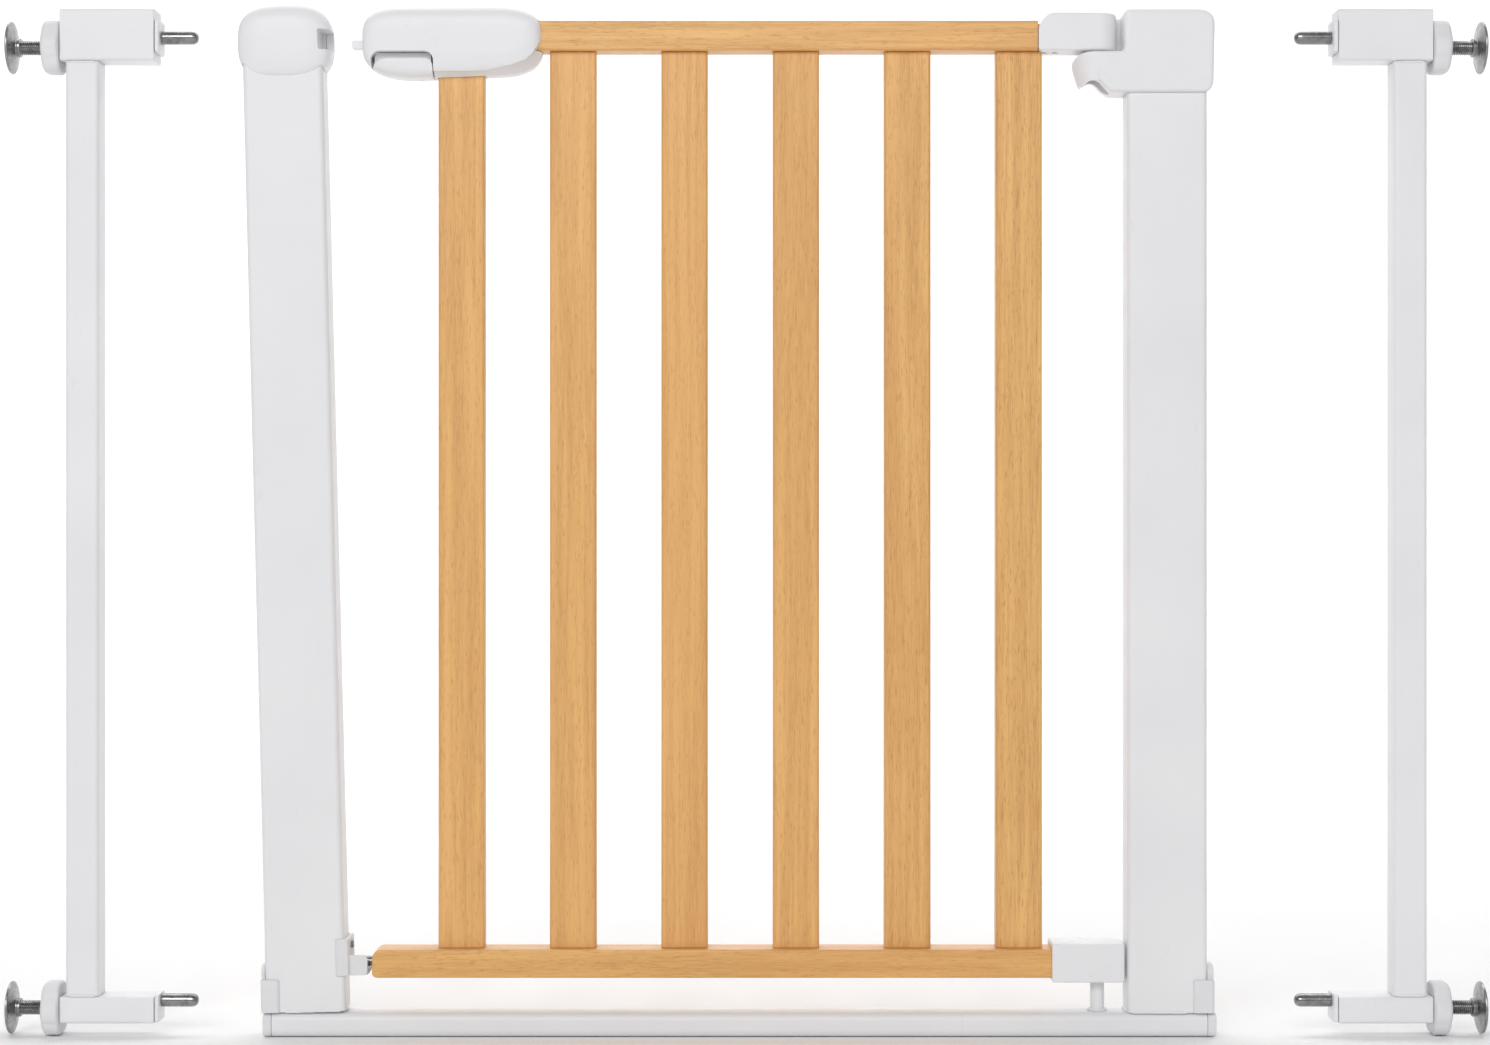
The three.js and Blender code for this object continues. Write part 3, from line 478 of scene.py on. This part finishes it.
# the right cap and its hinge lobe
cap_low, cap_high = corners("right_cap")
left, right, bottom, top = 288.4, cap_high.x, cap_low.z, cap_high.z
lobe_left, lobe_top, chin_x, chin = cap_low.x, 739.9, 255.4, 714
cap_outline = traced(
    (left + 5, top), (right - 12, top), (right, top - 0.5, right, top - 12), (right - 1, bottom + 9),
    (right - 1.5, bottom, right - 9, bottom), (280, bottom), (276, bottom + 1.4, 272, chin + 1),
    (265.5, chin + 9, chin_x + 3, chin + 0.4), (chin_x + 0.2, chin - 0.2, chin_x - 0.5, chin + 1.8),
    (252, 722.5, lobe_left, 731), (lobe_left, lobe_top - 1.5, 266, lobe_top), (left - 3, lobe_top),
    (left, lobe_top, left, lobe_top + 4), (left, top - 5), (left, top, left + 5, top),
)
half = cap_high.y
made = prism("hinge_cap", lambda d: inset(cap_outline, d), -half, half, along_y, 3.2, steps=7)
lobe_reach = HINGE_X - lobe_left
lobe_profile = [
    (0, 700), (13, 700), (HINGE_X - chin_x, chin), (16.0, 718), (17.4, 722.5), (18.5, 727),
    (lobe_reach, 731), (lobe_reach, 750), (0, 750),
]
lobe = lathe("tool", lobe_profile, shifted(along_z, (HINGE_X, 0)), 96)
carve(lobe, block(HINGE_X, 400, -30, 30, 690, 800), operation="UNION")
carve(made, lobe, operation="INTERSECT")
# the wall behind the groove between the cap and the door's hinge cover
GROOVE_WALL_Y = 5
cover_end = corners("hinge_cover")[1].x
groove_wall = block(cover_end + 0.7, left + 8, GROOVE_WALL_Y, half - 4, lobe_top - 5, top - 4)
carve(made, groove_wall, operation="UNION")
carve(
    made,
    bar("tool", POST_WIDTH + 0.6, POST_DEPTH + 0.6, 4, 680, post_high.z + 0.3, along_z, (POST_X, 0), 0),
    hole(SOCKET, right - 20, right + 6, along_x, (0, UPPER_PIN_Z)),
    hole(9.3, 690, 736.3, along_z, (HINGE_X, 0)),
    hole(5.6, 730, 746, along_z, (HINGE_X, 0)),
)
finish_piece(made, "base_frame", GLOSS, "right_cap", angle=30)

pin = corners("lower_hinge_pin")
pin_radius = 5.25
made = lathe(
    "hinge_peg",
    [(0, pin[0].z), (pin_radius + 1.6, pin[0].z), (pin_radius + 1.2, pin[0].z + 0.5),
     (pin_radius + 0.3, pin[0].z + 1.2), (pin_radius, pin[0].z + 2.2), (pin_radius, pin[1].z - 2.4),
     (pin_radius - 0.5, pin[1].z - 1.2),
     (pin_radius - 2, pin[1].z), (0, pin[1].z)],
    shifted(along_z, (HINGE_X, 0)),
)
finish_piece(made, "base_frame", PAINT, "lower_hinge_pin")
ring = [
    (HINGE_X + 6.4 * math.cos(a), 6.4 * math.sin(a), BAR_TOP + 0.8)
    for a in (2 * math.pi * k / 24 for k in range(25))
]
weld("hinge_peg_weld", ring, 1.0, "base_frame", 11.2)


def foot_cover(name, node, body, side, matrix):
    """A cover that clasps the outer half of a post's foot, with its plug socket."""
    reach = 3.4 if side < 0 else 5.4
    outer = -POST_WIDTH / 2 - reach
    band, tab = 24.7, 35.3
    width, depth = reach + 11, POST_DEPTH + 4
    made = prism(
        name,
        lambda d: [p + Vector((outer + width / 2, 0)) for p in rounded(width - 2 * d, depth - 2 * d, 3 - d)],
        0, band, along_z, 0.7, matrix,
    )
    ear = prism(
        "tool", lambda d: [p + Vector((0, tab / 2)) for p in rounded(22 - 2 * d, tab - 2 * d, 6 - d)],
        outer, outer + reach - 0.3, along_x, 1.0, matrix,
    )
    carve(made, ear, operation="UNION")
    base = (matrix.translation.z if matrix else 0)
    carve(
        made,
        bar("tool", POST_WIDTH + 0.6, POST_DEPTH + 0.6, 4, -20, 90, along_z, (0, 0), 0, matrix),
        hole(SOCKET, outer - 6, outer + 24, along_x, (0, LOWER_PIN_Z - base), matrix),
    )
    return finish_piece(made, body, MATT, node, angle=32)


foot_cover("hinge_side_foot_cover", "right_foot_cover", "base_frame", 1,
           Matrix.Translation((POST_X, 0, BAR_TOP + 0.3)) @ Matrix.Rotation(math.pi, 4, "Z"))

# ------------------------------------------------------------------ left frame
flex = JOINTS["left_post_flex"]
FOOT = Vector(flex["pos_m"]) / MM
LEAN = math.radians(flex["range_deg"][1])
LEANT = Matrix.Translation(FOOT) @ Matrix.Rotation(-LEAN, 4, "Y")
POST_TOP = 742
pocket = (27.2, 45, -26, 8, 722.6, 738)
socket_z = UPPER_PIN_Z - FOOT.z
inner = POST_WIDTH / 2

made = bar("latch_post", POST_WIDTH, POST_DEPTH, 4, 1.1, POST_TOP, along_z, (0, 0), 0.4, LEANT)
carve(
    made,
    block(*pocket, LEANT),
    hole(SOCKET, -44, 4, along_x, (0, socket_z), LEANT),
    hole(SOCKET, -44, 4, along_x, (0, LOWER_PIN_Z - FOOT.z), LEANT),
)
finish_piece(made, "left_frame", PAINT, "left_post")


def pillow(name, half, centre, matrix, around=96, rows=56):
    """A superelliptic pillow, flatter towards the front and the back."""
    rings = []
    for r in range(rows + 1):
        polar = math.pi * min(max(r / rows, 0.006), 0.994)
        ring_points = []
        for i in range(around):
            turn = 2 * math.pi * i / around
            level = math.sin(polar)
            d = Vector((level * math.cos(turn), level * math.sin(turn), math.cos(polar)))
            face = abs(d.x) ** 3 + abs(d.z) ** 3
            reach = (face ** (4 / 3) + d.y**4) ** -0.25
            place = Vector((d.x * reach * half[0], d.y * reach * half[1], d.z * reach * half[2]))
            ring_points.append(place + centre)
        rings.append(ring_points)
    return loft(name, rings, matrix)


made = pillow("latch_cap", (35.5, 20, 27.9), Vector((1.2, 0, 729.4)), LEANT)
carve(
    made,
    bar("tool", POST_WIDTH + 0.6, POST_DEPTH + 0.6, 4, 600, POST_TOP + 0.3, along_z, (0, 0), 0, LEANT),
    prism("tool", lambda d: [p + Vector(((pocket[0] + pocket[1]) / 2, (pocket[4] + pocket[5]) / 2)) for p in
                             rounded(pocket[1] - pocket[0], pocket[5] - pocket[4], 1.4)],
          pocket[2], pocket[3], along_y, 0, LEANT),
    hole(SOCKET, -44, -20, along_x, (0, socket_z), LEANT),
)
finish_piece(made, "left_frame", GLOSS, "left_cap", angle=30)
lifted = LEANT @ Matrix.Translation((0, 0, 1.1))
foot_cover("latch_side_foot_cover", "left_foot_cover", "left_frame", -1, lifted)

# the lower latch: a clasp on the post with an open channel for the door's stub
bottom, plate_top, channel_top = 45.4 - FOOT.z, 73.1 - FOOT.z, 60.4 - FOOT.z
reach = -278.4 - FOOT.x
clasp_depth = POST_DEPTH + 4.4
CLASP_WIDTH = 9.9
made = prism(
    "latch_channel",
    lambda d: [p + Vector((inner - 6.5 + CLASP_WIDTH / 2, 0))
               for p in rounded(CLASP_WIDTH - 2 * d, clasp_depth - 2 * d, 1.6 - d)],
    bottom, plate_top, along_z, 0.8, LEANT,
)
floor_piece = prism(
    "tool",
    lambda d: [p + Vector(((inner + reach) / 2, -1))
               for p in rounded(reach - inner - 2 * d, 26 - 2 * d, 2 - d)],
    bottom, bottom + 3.3, along_z, 0.5, LEANT,
)
slope = [Vector(p) for p in ((inner + 1, bottom + 0.6), (reach - 1.5, bottom + 2), (reach, bottom + 3.5),
                             (reach, channel_top - 3), (reach - 2, channel_top), (inner + 1, channel_top))]
wall = prism("tool", lambda d: inset(slope, d), -14, -11, along_y, 0.5, LEANT)
carve(made, floor_piece, wall, operation="UNION")
carve(
    made,
    bar("tool", POST_WIDTH + 0.6, POST_DEPTH + 0.6, 4, -20, 120, along_z, (0, 0), 0, LEANT),
    hole(2, 20, 44, along_x, (0, plate_top - 6), LEANT),
)
finish_piece(made, "left_frame", MATT, "lower_latch_bracket", angle=32)

for n, y in enumerate((-POST_DEPTH / 2 + 0.4, POST_DEPTH / 2 - 0.4)):
    ends = [LEANT @ Vector((x, y, 1.7)) for x in (-inner + 14, inner - 3)]
    weld(f"latch_post_weld_{n + 1}", ends, 1.2, "left_frame", n + 17.3)

# ------------------------------------------------------------------ door
rail_low, rail_high = corners("top_rail")
low_rail_low, low_rail_high = corners("bottom_rail")
SCREWS_X = [(corners(f"hinge_screw_{n}")[0].x + corners(f"hinge_screw_{n}")[1].x) / 2 for n in (1, 2)]

made = bar("upper_rail", rail_high.y - rail_low.y, 22.5, 2.2, rail_low.x, 224.3, along_x,
           (0, (rail_low.z + rail_high.z) / 2), 0.5)
tenon = block(219, 256, -10, 10, 744, 761)
carve(made, tenon, operation="UNION")
carve(made, *(hole(1.8, 730, 756, along_z, (x, 0), sides=20) for x in SCREWS_X))
finish_piece(made, "door", LEVEL_BEECH, "top_rail", angle=30)

x0, x1, z0, z1 = low_rail_low.x, low_rail_high.x, low_rail_low.z, low_rail_high.z
rail_outline = traced((x0 + 4, z0), (x1, z0), (x1, z1), (x0 + 7, z1), (x0 + 1.5, z1, x0, z1 - 6.5),
                      (x0, z0 + 4.5), (x0, z0, x0 + 4, z0), steps=5)
made = prism(
    "lower_rail", lambda d: inset(rail_outline, d), low_rail_low.y, low_rail_high.y, along_y, 1.6, steps=5
)
stub = corners("door_stub")
stub_z = (stub[0].z + stub[1].z) / 2
SHOE_SCREW_X = 243
carve(
    made,
    hole(4.3, x0 - 5, stub[1].x + 1, along_x, (0, stub_z)),
    hole(1.8, z0 - 5, 59, along_z, (SHOE_SCREW_X, 0), sides=20),
)
finish_piece(made, "door", LEVEL_BEECH, "bottom_rail", angle=30)

for n in range(1, 7):
    low, high = corners(f"slat_{n}")
    made = bar(f"stave_{n}", high.x - low.x, high.y - low.y, 2.3, low.z, high.z, along_z,
               ((low.x + high.x) / 2, (low.y + high.y) / 2), 0.15)
    finish_piece(made, "door", UPRIGHT_BEECH, f"slat_{n}", angle=30)

tip = stub[0].x
stub_profile = [
    (0, tip), (2.2, tip), (3.4, tip + 0.7), (4, tip + 1.9), (4, tip + 9.0), (3.7, tip + 9.3),
    (3.7, tip + 9.9), (4, tip + 10.2), (4, stub[1].x), (0, stub[1].x),
]
made = lathe("latch_stub", stub_profile, shifted(along_x, (0, stub_z)), 40)
finish_piece(made, "door", TURNED, "door_stub")

# the hinge cover
cover_low, cover_high = corners("hinge_cover")
reach = cover_high.x - HINGE_X
bottom, top = cover_low.z, cover_high.z
arc = [Vector((HINGE_X + reach * math.cos(a), reach * math.sin(a)))
       for a in (math.pi * (k / 24 - 0.5) for k in range(25))]
plan = [Vector((cover_low.x, -reach)), *arc, Vector((cover_low.x, reach))]
made = prism("hinge_knuckle", lambda d: inset(plan, d), bottom, top, along_z, 2.0, steps=6)
corner = 14
arc = [Vector((cover_low.x + corner * (1 - math.cos(a)), top - corner * (1 - math.sin(a))))
       for a in (math.pi / 2 * k / 12 for k in range(13))]
front = [Vector((cover_low.x - 0.01, bottom - 1)), Vector((cover_high.x + 2, bottom - 1)),
         Vector((cover_high.x + 2, top + 0.01)), *arc[::-1]]
carve(made, prism("tool", lambda d: front, -40, 40, along_y), operation="INTERSECT")
carve(
    made,
    block(cover_low.x - 5, 256.3, -10.3, 10.3, 743.7, 761.3),
    hole(5.3, bottom - 5, 757.3, along_z, (HINGE_X, 0)),
    *(hole(1.8, bottom - 5, 747, along_z, (x, 0), sides=24) for x in SCREWS_X),
    *(hole(3.0, bottom - 5, bottom + 1.4, along_z, (x, 0), sides=24) for x in SCREWS_X),
)
finish_piece(made, "door", GLOSS, "hinge_cover", angle=30)

# the lower hinge bracket
low, high = corners("lower_hinge_bracket")
half, reach = high.y, high.x - HINGE_X
turn = math.asin(half / reach)
arc = [Vector((HINGE_X + reach * math.cos(a), reach * math.sin(a)))
       for a in (turn * k / 12 for k in range(13))]
plan = [Vector((low.x, -half)), Vector((high.x - 4, -half)), Vector((high.x - 1.2, -half + 0.9)),
        Vector((high.x - 0.2, -half + 3.4)), *arc, Vector((low.x, half))]
made = prism("hinge_shoe", lambda d: inset(plan, d), low.z, high.z, along_z, 1.4, steps=5)
rail_half = low_rail_high.y + 0.3
carve(
    made,
    block(low.x - 5, x1 + 0.3, -rail_half, rail_half, z0 - 0.3, z1 + 0.3),
    hole(pin_radius + 0.6, low.z - 5, 66, along_z, (HINGE_X, 0)),
    hole(1.8, low.z - 5, low.z + 5, along_z, (243, 0), sides=24),
    hole(3.2, low.z - 5, low.z + 1.6, along_z, (SHOE_SCREW_X, 0), sides=24),
)
finish_piece(made, "door", GLOSS, "lower_hinge_bracket", angle=30)

# the latch housing
shell_low, shell_high = corners("latch_shell_front")
left, right, top = shell_low.x, shell_high.x, shell_high.z
base = shell_low.z


def housing(shrink=0.0):
    l, r, t, b = left + shrink, right - shrink, top - shrink, base + shrink
    return traced(
        (l + 26, t - 0.5), (r - 30, t), (r, t - 2, r, t - 18), (r, t - 30), (r - 1, b + 6, r - 26, b + 3),
        (l + 38, b), (l, b + 1, l, b + 23), (l, b + 34), (l, t - 1.5, l + 26, t - 0.5), steps=16,
    )


def low_right(outward):
    """The flank is broader towards the lower right, where the housing turns under."""
    return 1.0 + 0.55 * max(0.0, outward.dot(Vector((0.62, -0.78)))) ** 2


def undercut(y, drop):
    """What is cut away below the front face at depth y; drop moves the cut's edge outward."""
    edge = (
        (47, 4.9, 0, -1), (88, 4.9, 0, -1), (101, 6.8, 0.2, -1), (113, 9.4, 0.4, -1), (123, 13, 0.8, -0.8),
        (129, 18, 1, -0.4), (134, 27, 1, 0),
    )
    points = [Vector((left + x + drop * a, base + z + drop * b)) for x, z, a, b in edge]
    points += [Vector((left + x, base + z)) for x, z in ((150, 27), (150, -20), (47, -20))]
    return [along_y(p, y) for p in points]


RECESS = {"left": -276.5, "right": -229.5, "top": 739.5}
TRIGGER_TOP, LIP_TOP = 734.4, 739.1
trigger_low, trigger_high = corners("trigger")


def lip(side, room=0.0, travel=0.0):
    """One of the two lips along the trigger's top, or the slot that it slides in."""
    y0, y1 = sorted((side * (7 - room), side * (11 + room)))
    reach = 1.5 - 3.5 * room
    x0, x1 = trigger_low.x + reach, trigger_high.x - reach
    return block(x0, x1, y0, y1, TRIGGER_TOP - 3, LIP_TOP + travel + room)


# how far in the outline has moved at each distance from the middle plane
SHELL_FLANK = (
    (0.0, 0.15), (0.1, 7.0), (0.5, 10.5), (1.3, 13.4), (2.6, 15.8), (4.4, 17.6), (7.0, 18.9),
    (10.5, 19.6), (15.0, 20.0),
)
UNDERCUT_DEPTHS = ((-30, 0), (-13.5, 0), (-12.5, 0.4), (-1.5, 8))
SHELL_SCREWS = ((-258, 764), (-168, 732))
for side, name, node in (
    (-1, "latch_front_shell", "latch_shell_front"), (1, "latch_rear_shell", "latch_shell_rear"),
):
    outline = housing()
    made = loft(name, [[along_y(p, side * y) for p in flank(outline, d, low_right)] for d, y in SHELL_FLANK])
    recess_centre = Vector(((RECESS["left"] + RECESS["right"]) / 2, RECESS["top"] - 30))
    recess = prism(
        "tool",
        lambda d: [p + recess_centre for p in rounded(RECESS["right"] - RECESS["left"], 60, 7, 10)],
        -40, 40, along_y,
    )
    fixings = []
    if side < 0:
        carve(made, loft("tool", [undercut(y, drop) for y, drop in UNDERCUT_DEPTHS]))
    else:
        fixings = [hole(3.6, 14.6, 30, along_y, place, sides=32) for place in SHELL_SCREWS]
    slat = corners("slat_1")
    carve(
        made,
        recess,
        block(rail_low.x - 0.3, 0, rail_low.y - 0.3, rail_high.y + 0.3, rail_low.z - 0.3, rail_high.z + 0.3),
        block(slat[0].x - 0.3, slat[1].x + 0.3, slat[0].y - 0.3, slat[1].y + 0.3, 700, rail_low.z),
        block(-305, corners("bolt_spring")[1].x + 0.3, -5.4, 5.4, 743.1, 755.6),
        block(-262.6, -249.4, -3.4, 3.4, 734, 744),
        lip(side, 0.6, 4.5),
        *fixings,
    )
    finish_piece(made, "door", GLOSS, node, angle=30)

# the squeeze trigger
low, high = corners("trigger")
t_left, t_right, t_top = low.x, high.x, TRIGGER_TOP
lens = traced(
    (t_left, 700), (t_right, 700), (t_right, t_top - 7), (t_right, t_top, t_right - 7, t_top),
    (t_left + 14, t_top), (t_left + 3, t_top - 0.5, t_left, t_top - 7), steps=10,
)
REAR_FLANK = ((0.2, 7.0), (0.7, 10.0), (1.7, 12.6), (3.2, 14.6), (5.2, 16.0), (8.0, 16.8), (12.0, 17.0))
TRIGGER_FLANK = (*((d, -y) for d, y in REAR_FLANK[::-1]), *REAR_FLANK)
made = loft("squeeze_trigger", [[along_y(p, y) for p in flank(housing(), d)] for d, y in TRIGGER_FLANK])
carve(made, prism("tool", lambda d: inset(lens, d), -26, 26, along_y), operation="INTERSECT")
fin = [Vector(p) for p in ((-262, t_top - 3), (-250, t_top - 3), (-250, 738.4), (-262, 744.75))]
carve(made, prism("tool", lambda d: fin, -3, 3, along_y), operation="UNION")
carve(made, lip(-1), operation="UNION")
carve(made, lip(1), operation="UNION")
finish_piece(made, "trigger", GLOSS, "trigger", angle=30)

# ------------------------------------------------------------------ extension frames
ROD = 5.65
THREAD_PITCH = 1.5
THREAD_END = 107.4


def thread(name, low, high, radius, pitch, matrix, height, sides=28):
    """A single-start screw thread about the local X axis."""
    rows_per_turn = 4
    rows = int((high - low) / pitch * rows_per_turn)
    rings = []
    for r in range(rows + 1):
        level = low + (high - low) * r / rows
        ring_points = []
        for i in range(sides):
            a = 2 * math.pi * i / sides
            phase = (level / pitch - i / sides) % 1.0
            lead_in = min(1.0, (level - low) / 2.5, (high - level) / 1.2)
            depth = 0.78 * (1 - abs(2 * phase - 1)) * max(lead_in, 0.0)
            r_here = radius - 0.78 + depth
            ring_points.append(Vector((level, r_here * math.cos(a), height + r_here * math.sin(a))))
        rings.append(ring_points)
    return loft(name, rings, matrix)


def lobed(radius, dip, lobes=6, steps=20):
    count = lobes * steps
    return [
        Vector((r * math.cos(a), r * math.sin(a)))
        for a, r in (
            (2 * math.pi * i / count, radius - dip * (1 - abs(math.cos(lobes * math.pi * i / count))) ** 0.8)
            for i in range(count)
        )
    ]


for side, name in ((-1, "left"), (1, "right")):
    body = f"{name}_extension"
    plate = corners(f"{name}_upper_plate")
    inner_x = plate[0].x if side > 0 else plate[1].x
    here = Matrix.Translation((inner_x, 0, 0)) @ (Matrix() if side > 0 else Matrix.Rotation(math.pi, 4, "Z"))

    def out(node, matrix=here):
        """A node's box in the extension's own coordinates, outward from its inner plate."""
        low, high = corners(node)
        ends = [matrix.inverted() @ low, matrix.inverted() @ high]
        return [Vector(map(min, *ends)), Vector(map(max, *ends))]

    post = out(f"{name}_side_post")
    finish_piece(
        bar(f"{name}_upright", post[1].x - post[0].x, post[1].y - post[0].y, 3.2,
            post[0].z, post[1].z, along_z, ((post[0].x + post[1].x) / 2, 0), 0.3, here),
        body, PAINT, f"{name}_side_post",
    )
    for level in ("upper", "lower"):
        part = f"{name}_{level}"
        arm = out(f"{part}_arm")
        wheel = out(f"{part}_handwheel")
        spindle = out(f"{part}_spindle")
        axis_z = (spindle[0].z + spindle[1].z) / 2
        made = bar(f"{part}_beam", arm[1].y - arm[0].y, arm[1].z - arm[0].z, 2.6,
                   arm[0].x, arm[1].x, along_x, (0, (arm[0].z + arm[1].z) / 2), 0.5, here)
        carve(made, hole(ROD + 0.6, arm[1].x - 26, arm[1].x + 5, along_x, (0, axis_z), here))
        finish_piece(made, body, PAINT, f"{part}_arm")

        tab = out(f"{part}_plate")
        finish_piece(
            bar(f"{part}_tab", tab[1].y - tab[0].y, tab[1].z - tab[0].z, 2.2,
                tab[0].x, tab[1].x, along_x, (0, (tab[0].z + tab[1].z) / 2), 0.6, here),
            body, PAINT, f"{part}_plate",
        )
        plug = out(f"{part}_pin")
        plug_z = (plug[0].z + plug[1].z) / 2
        tip = plug[0].x
        made = lathe(
            f"{part}_plug",
            [(0, tip), (1.6, tip + 0.1), (2.9, tip + 0.6), (3.9, tip + 1.5), (4.6, tip + 2.8),
             (4.93, tip + 4.2), (5, tip + 5.4), (5, plug[1].x - 0.8), (4.8, plug[1].x), (0, plug[1].x)],
            shifted(along_x, (0, plug_z)), 48, here,
        )
        finish_piece(made, body, TURNED, f"{part}_pin")

        w0, w1 = wheel[0].x, wheel[1].x
        rings = []
        for d, dip, level_x in (
            (2.4, 1.2, w0), (1.2, 1.4, w0 + 0.35), (0.4, 1.6, w0 + 1.1), (0.0, 1.6, w0 + 2.2),
            (0.0, 1.6, w1 - 3.6), (0.4, 1.6, w1 - 2.2), (1.4, 1.5, w1 - 1.0), (2.8, 1.2, w1 - 0.25),
            (4.0, 1.0, w1),
        ):
            rings.append([Vector((level_x, p.x, p.y + axis_z)) for p in lobed(wheel[1].y - d, dip)])
        made = loft(f"{part}_wheel", rings, here)
        carve(made, hole(ROD + 0.6, w0 - 5, w1 + 5, along_x, (0, axis_z), here))
        finish_piece(made, f"{part}_handwheel", MATT, f"{part}_handwheel", angle=34)

        s0, s1 = spindle[0].x, spindle[1].x
        made = thread(f"{part}_screw", s0, THREAD_END, ROD, THREAD_PITCH, here, axis_z)
        finish_piece(made, f"{part}_spindle", TURNED, angle=50)
        made = lathe(
            f"{part}_pressure_disc",
            [(0, 105.6), (6.2, 105.6), (7, 106.2), (7, THREAD_END), (6.6, 107.7), (7, 108.1), (7, 108.8),
             (7.7, 109.4), (9.6, 109.9), (12.2, 110.5), (14.8, 111.1), (17.2, 111.6), (18.6, 111.8),
             (19.3, 112.1), (19.6, 112.6), (19.6, 113.3), (19.2, 113.8), (18.6, s1), (0, s1)],
            shifted(along_x, (0, axis_z)), 72, here,
        )
        finish_piece(made, f"{part}_spindle", ZINC, f"{part}_spindle", angle=34)
    # beads where the upright meets the two beams
    for n, (z, drop) in enumerate(((post[1].z, -0.6), (post[0].z, 0.6))):
        for m, y in enumerate((-1, 1)):
            ends = [
                here @ Vector((x, y * (post[1].y + 0.1), z + drop)) for x in (post[0].x + 2, post[1].x - 2)
            ]
            weld(f"{name}_upright_weld_{2 * n + m + 1}", ends, 0.95, body, 30 + 7 * n + 3 * m + side)

# ------------------------------------------------------------------ screws and the inner pieces
screw_head("hinge_cover_screw_1", "hinge_screw_1", "door", False, 2)
screw_head("hinge_cover_screw_2", "hinge_screw_2", "door", False, 2)
screw_head("shoe_screw", "rail_screw", "door", False, 2)
screw_head("shell_fixing_1", "shell_screw_1", "door", True, 1)
screw_head("shell_fixing_2", "shell_screw_2", "door", True, 1)
for node, material in (
    ("hinge_bush", MATT), ("closing_spring", TURNED), ("bolt_spring", TURNED), ("latch_bolt", GLOSS),
    ("hinge_spindle", TURNED), ("latch_bracket_screw", ZINC),
):
    NODES[node].data.materials.clear()
    NODES[node].data.materials.append(material)

# ------------------------------------------------------------------ stage, light and camera


def soft_light(name, place, target, width, height, power):
    data = bpy.data.lights.new(name, "AREA")
    data.shape, data.size, data.size_y, data.energy = "RECTANGLE", width, height, power
    lamp = bpy.data.objects.new(name, data)
    lamp.location = place
    lamp.rotation_euler = (Vector(target) - Vector(place)).to_track_quat("-Z", "Y").to_euler()
    bpy.context.scene.collection.objects.link(lamp)


# a pale floor that sweeps up into a backdrop
FLOOR_REACH, SWEEP_START, SWEEP_RADIUS, BACKDROP_TOP = 12.0, 1.6, 1.4, 6.0
profile = [(-FLOOR_REACH, 0.0), (SWEEP_START, 0.0)]
for k in range(1, 17):
    a = math.pi / 2 * k / 16
    profile.append((SWEEP_START + SWEEP_RADIUS * math.sin(a), SWEEP_RADIUS - SWEEP_RADIUS * math.cos(a)))
profile.append((SWEEP_START + SWEEP_RADIUS, BACKDROP_TOP))
sweep = bpy.data.meshes.new("studio_sweep")
sweep.from_pydata(
    [(x, y, z - 0.0006) for x in (-FLOOR_REACH, FLOOR_REACH) for y, z in profile], [],
    [(i, i + 1, i + 1 + len(profile), i + len(profile)) for i in range(len(profile) - 1)],
)
for face in sweep.polygons:
    face.use_smooth = True
studio = bpy.data.objects.new("studio_sweep", sweep)
bpy.context.scene.collection.objects.link(studio)
paper = Look("studio_paper")
paper.shader.inputs["Roughness"].default_value = 0.85
mottle = paper.spread(paper.noise(2.0, 2), 0, 1)
sweep.materials.append(paper.wear(paper.mix(mottle, (0.93, 0.93, 0.93), (0.95, 0.95, 0.95))))

soft_light("front_key", (-1.0, -4.6, 2.7), (0, 0, 0.45), 3.6, 2.0, 118)
soft_light("front_fill", (2.6, -4.7, 2.1), (0, 0, 0.4), 2.4, 1.8, 14)
soft_light("overhead", (0, 0.2, 3.2), (0, 0, 0), 3.6, 2.4, 4)
soft_light("backdrop_wash", (0, 1.3, 2.6), (0, 2.3, 0.2), 4.5, 1.6, 58)

world = bpy.data.worlds.new("studio")
world.use_nodes = True
world.node_tree.nodes["Background"].inputs["Color"].default_value = (0.97, 0.98, 1.0, 1.0)
world.node_tree.nodes["Background"].inputs["Strength"].default_value = 0.34
bpy.context.scene.world = world
bpy.context.scene.view_settings.view_transform = "Standard"

camera = bpy.data.cameras.new("camera")
camera.sensor_width, camera.lens = 36.0, 67.65
camera.shift_y = -0.0114
eye = bpy.data.objects.new("camera", camera)
eye.location = (0.0041, -2.115, 0.399)
eye.rotation_euler = (math.pi / 2, 0, 0)
bpy.context.scene.collection.objects.link(eye)
bpy.context.scene.camera = eye
